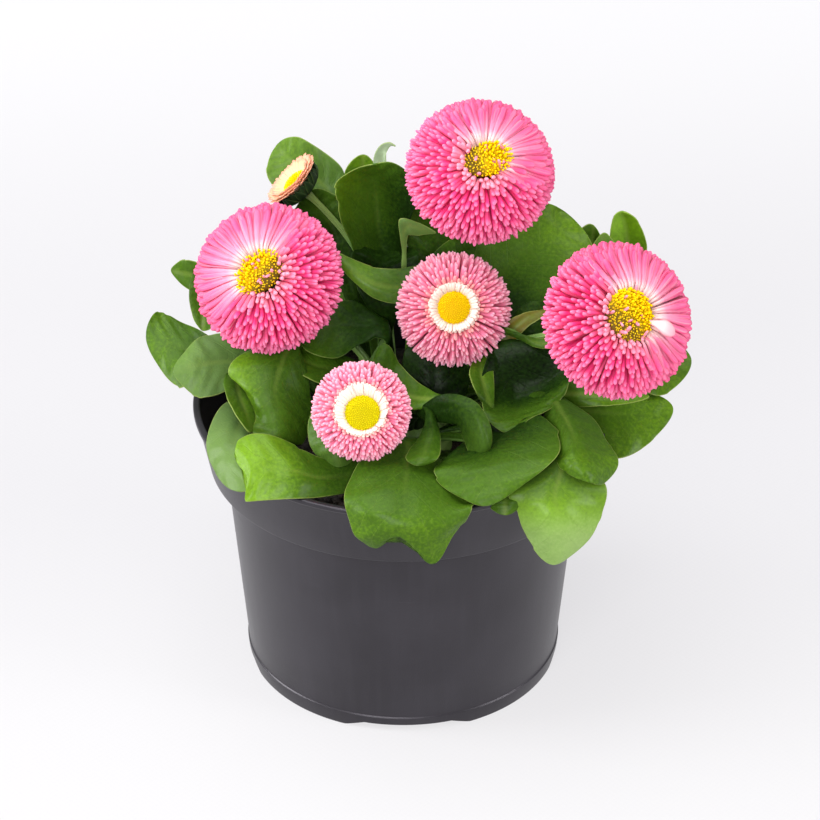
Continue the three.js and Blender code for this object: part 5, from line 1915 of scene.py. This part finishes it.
FLOWERS = (
    Flower(
        "flower_top", centre=(18.8, 6, 135.1), radius=18.2, disc=4.6, dome=10, cup=7, turn=8, elevation=46,
        stem_base=80, lean=52, rise=30, run=36, bloom=Bloom.POMPON, seed=11, open_at=42, open_spread=72,
        middle=Disc(stretch=1.5, run=75, fresh_at=80, fresh=0.15, strays=9, shift=(0.8, 0.3)),
    ),
    Flower(
        "flower_left", centre=(-33.1, -6, 111.8), radius=18.3, disc=5, dome=10, cup=7, turn=-14,
        elevation=38, stem_base=175, lean=78, rise=18, run=20, bloom=Bloom.POMPON, seed=22, open_at=-62,
        open_spread=88,
        middle=Disc(stretch=1.45, run=38, fresh_at=-62, fresh=0.05, strays=10, shift=(-0.2, 0.2)),
    ),
    Flower(
        "flower_right", centre=(51.5, -28, 112.9), radius=18.7, disc=6.2, dome=10, cup=7, turn=26,
        elevation=36, stem_base=-15, lean=78, rise=20, run=20, bloom=Bloom.POMPON, seed=33, open_at=70,
        open_spread=92,
        middle=Disc(stretch=1.15, run=0, fresh_at=55, fresh=0.1, strays=12, shift=(-0.35, 0.35)),
        tongue=124,
    ),
    Flower(
        "flower_middle", centre=(12.3, -6, 102.9), radius=14.1, disc=4.1, dome=7.5, cup=6, turn=0,
        elevation=34, stem_base=30, lean=78, rise=10, run=8, bloom=Bloom.BUTTON, seed=44, open_at=5,
        open_spread=80,
    ),
    Flower(
        "flower_front", centre=(-10, -35, 91.8), radius=12, disc=4.3, dome=6, cup=5, turn=0, elevation=35,
        stem_base=-80, lean=78, rise=10, run=8, bloom=Bloom.BUTTON, seed=55, open_at=-60, open_spread=110,
        middle=Disc(shift=(0.4, -0.8)),
    ),
    Flower(
        "flower_bud", centre=(-27.5, 24, 122.4), radius=7.95, disc=3.2, dome=3, cup=6, turn=-90,
        elevation=46, stem_base=135, lean=80, rise=20, run=30, bloom=Bloom.BUD, seed=66,
    ),
)


@dataclass(frozen=True)
class Blossoms:
    """All the flowers, four pieces each."""

    def build(self) -> None:
        """Makes the flowers."""
        petals = {
            Bloom.POMPON: ROSE.material(), Bloom.BUTTON: BLUSH.material(), Bloom.BUD: BUD_TINT.material()
        }
        lemon, amber, gold = LEMON.material(), AMBER.material(), GOLD.material()
        discs = {"flower_front": lemon, "flower_bud": lemon, "flower_middle": amber}
        bract, stalk = BractSkin().material(), StemSkin().material()
        for flower in FLOWERS:
            flower.stem(stalk)
            flower.involucre(bract)
            flower.ray_florets(petals[flower.bloom])
            flower.disc_florets(discs.get(flower.name, gold))


@dataclass(frozen=True)
class Studio:
    """White cloth floor, soft lights and the camera."""

    lens: float = 140.49
    sensor: float = 36.0
    shift: tuple[float, float] = (0.00829, -0.01585)
    floor_reach: float = 4.0
    lit_point: float = 0.08
    ambient: float = 0.42
    sky: tuple[float, float, float, float] = (1.0, 0.995, 1.0, 1.0)

    def floor(self) -> None:
        """Lays the floor."""
        reach = self.floor_reach
        mesh = bpy.data.meshes.new("cloth_floor")
        edges = ((-reach, -reach, 0), (reach, -reach, 0), (reach, reach, 0), (-reach, reach, 0))
        mesh.from_pydata(edges, [], [(0, 1, 2, 3)])
        mesh.materials.append(LitCloth().material())
        sheet = bpy.data.objects.new("cloth_floor", mesh)
        bpy.context.scene.collection.objects.link(sheet)

    def camera(self) -> None:
        """Sets up the camera at the photograph's angle."""
        lens = bpy.data.cameras.new("camera")
        lens.lens, lens.sensor_width, lens.sensor_fit = self.lens, self.sensor, "HORIZONTAL"
        lens.shift_x, lens.shift_y = self.shift
        lens.clip_start, lens.clip_end = 0.05, 20.0
        eye = bpy.data.objects.new("camera", lens)
        up = VIEW_ELEVATION
        aim = Vector((0, 0, RIM_LEVEL * MM))
        eye.location = aim + Vector((0, -math.cos(up), math.sin(up))) * VIEW_DISTANCE * MM
        eye.rotation_euler = (aim - eye.location).to_track_quat("-Z", "Y").to_euler()
        bpy.context.scene.collection.objects.link(eye)
        bpy.context.scene.camera = eye

    def lamp(self, name: str, place: Point, *, width: float, tall: float, watts: float) -> None:
        """Hangs one softbox that looks at the plant.

        Args:
            name: its name.
            place: its middle, in metres.
            width: its width in metres.
            tall: its height in metres.
            watts: its power.
        """
        light = bpy.data.lights.new(name, "AREA")
        light.shape, light.size, light.size_y, light.energy = "RECTANGLE", width, tall, watts
        box = bpy.data.objects.new(name, light)
        box.location = place
        toward = Vector((0, 0, self.lit_point)) - Vector(place)
        box.rotation_euler = toward.to_track_quat("-Z", "Y").to_euler()
        bpy.context.scene.collection.objects.link(box)

    def build(self) -> None:
        """Sets the stage."""
        self.floor()
        self.camera()
        self.lamp("softbox_over", (-0.25, 0.0, 1.25), width=1.2, tall=1.0, watts=16.0)
        self.lamp("softbox_front", (-0.35, -1.35, 0.85), width=0.9, tall=0.7, watts=21.0)
        self.lamp("softbox_left", (-1.2, -0.05, 0.5), width=0.6, tall=0.9, watts=19.0)
        self.lamp("softbox_right", (1.2, -0.45, 0.5), width=0.45, tall=0.8, watts=11.5)
        world = bpy.data.worlds.new("studio")
        world.use_nodes = True
        world.node_tree.nodes["Background"].inputs["Color"].default_value = self.sky
        world.node_tree.nodes["Background"].inputs["Strength"].default_value = self.ambient
        bpy.context.scene.world = world
        bpy.context.scene.view_settings.view_transform = "Standard"


def corners(bounds: tuple[Vector, Vector]) -> list[list[float]]:
    """Box corners as plain lists."""
    return [[float(value) for value in corner] for corner in bounds]


def main() -> None:
    """Builds the plant around the frame."""
    logging.basicConfig(level=logging.INFO, format="%(message)s")
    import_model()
    Studio().build()
    pot = Pot()
    pot.build()
    RootBall().build(pot)
    Crown().build()
    Foliage().build()
    Blossoms().build()


if __name__ == "__main__":
    main()
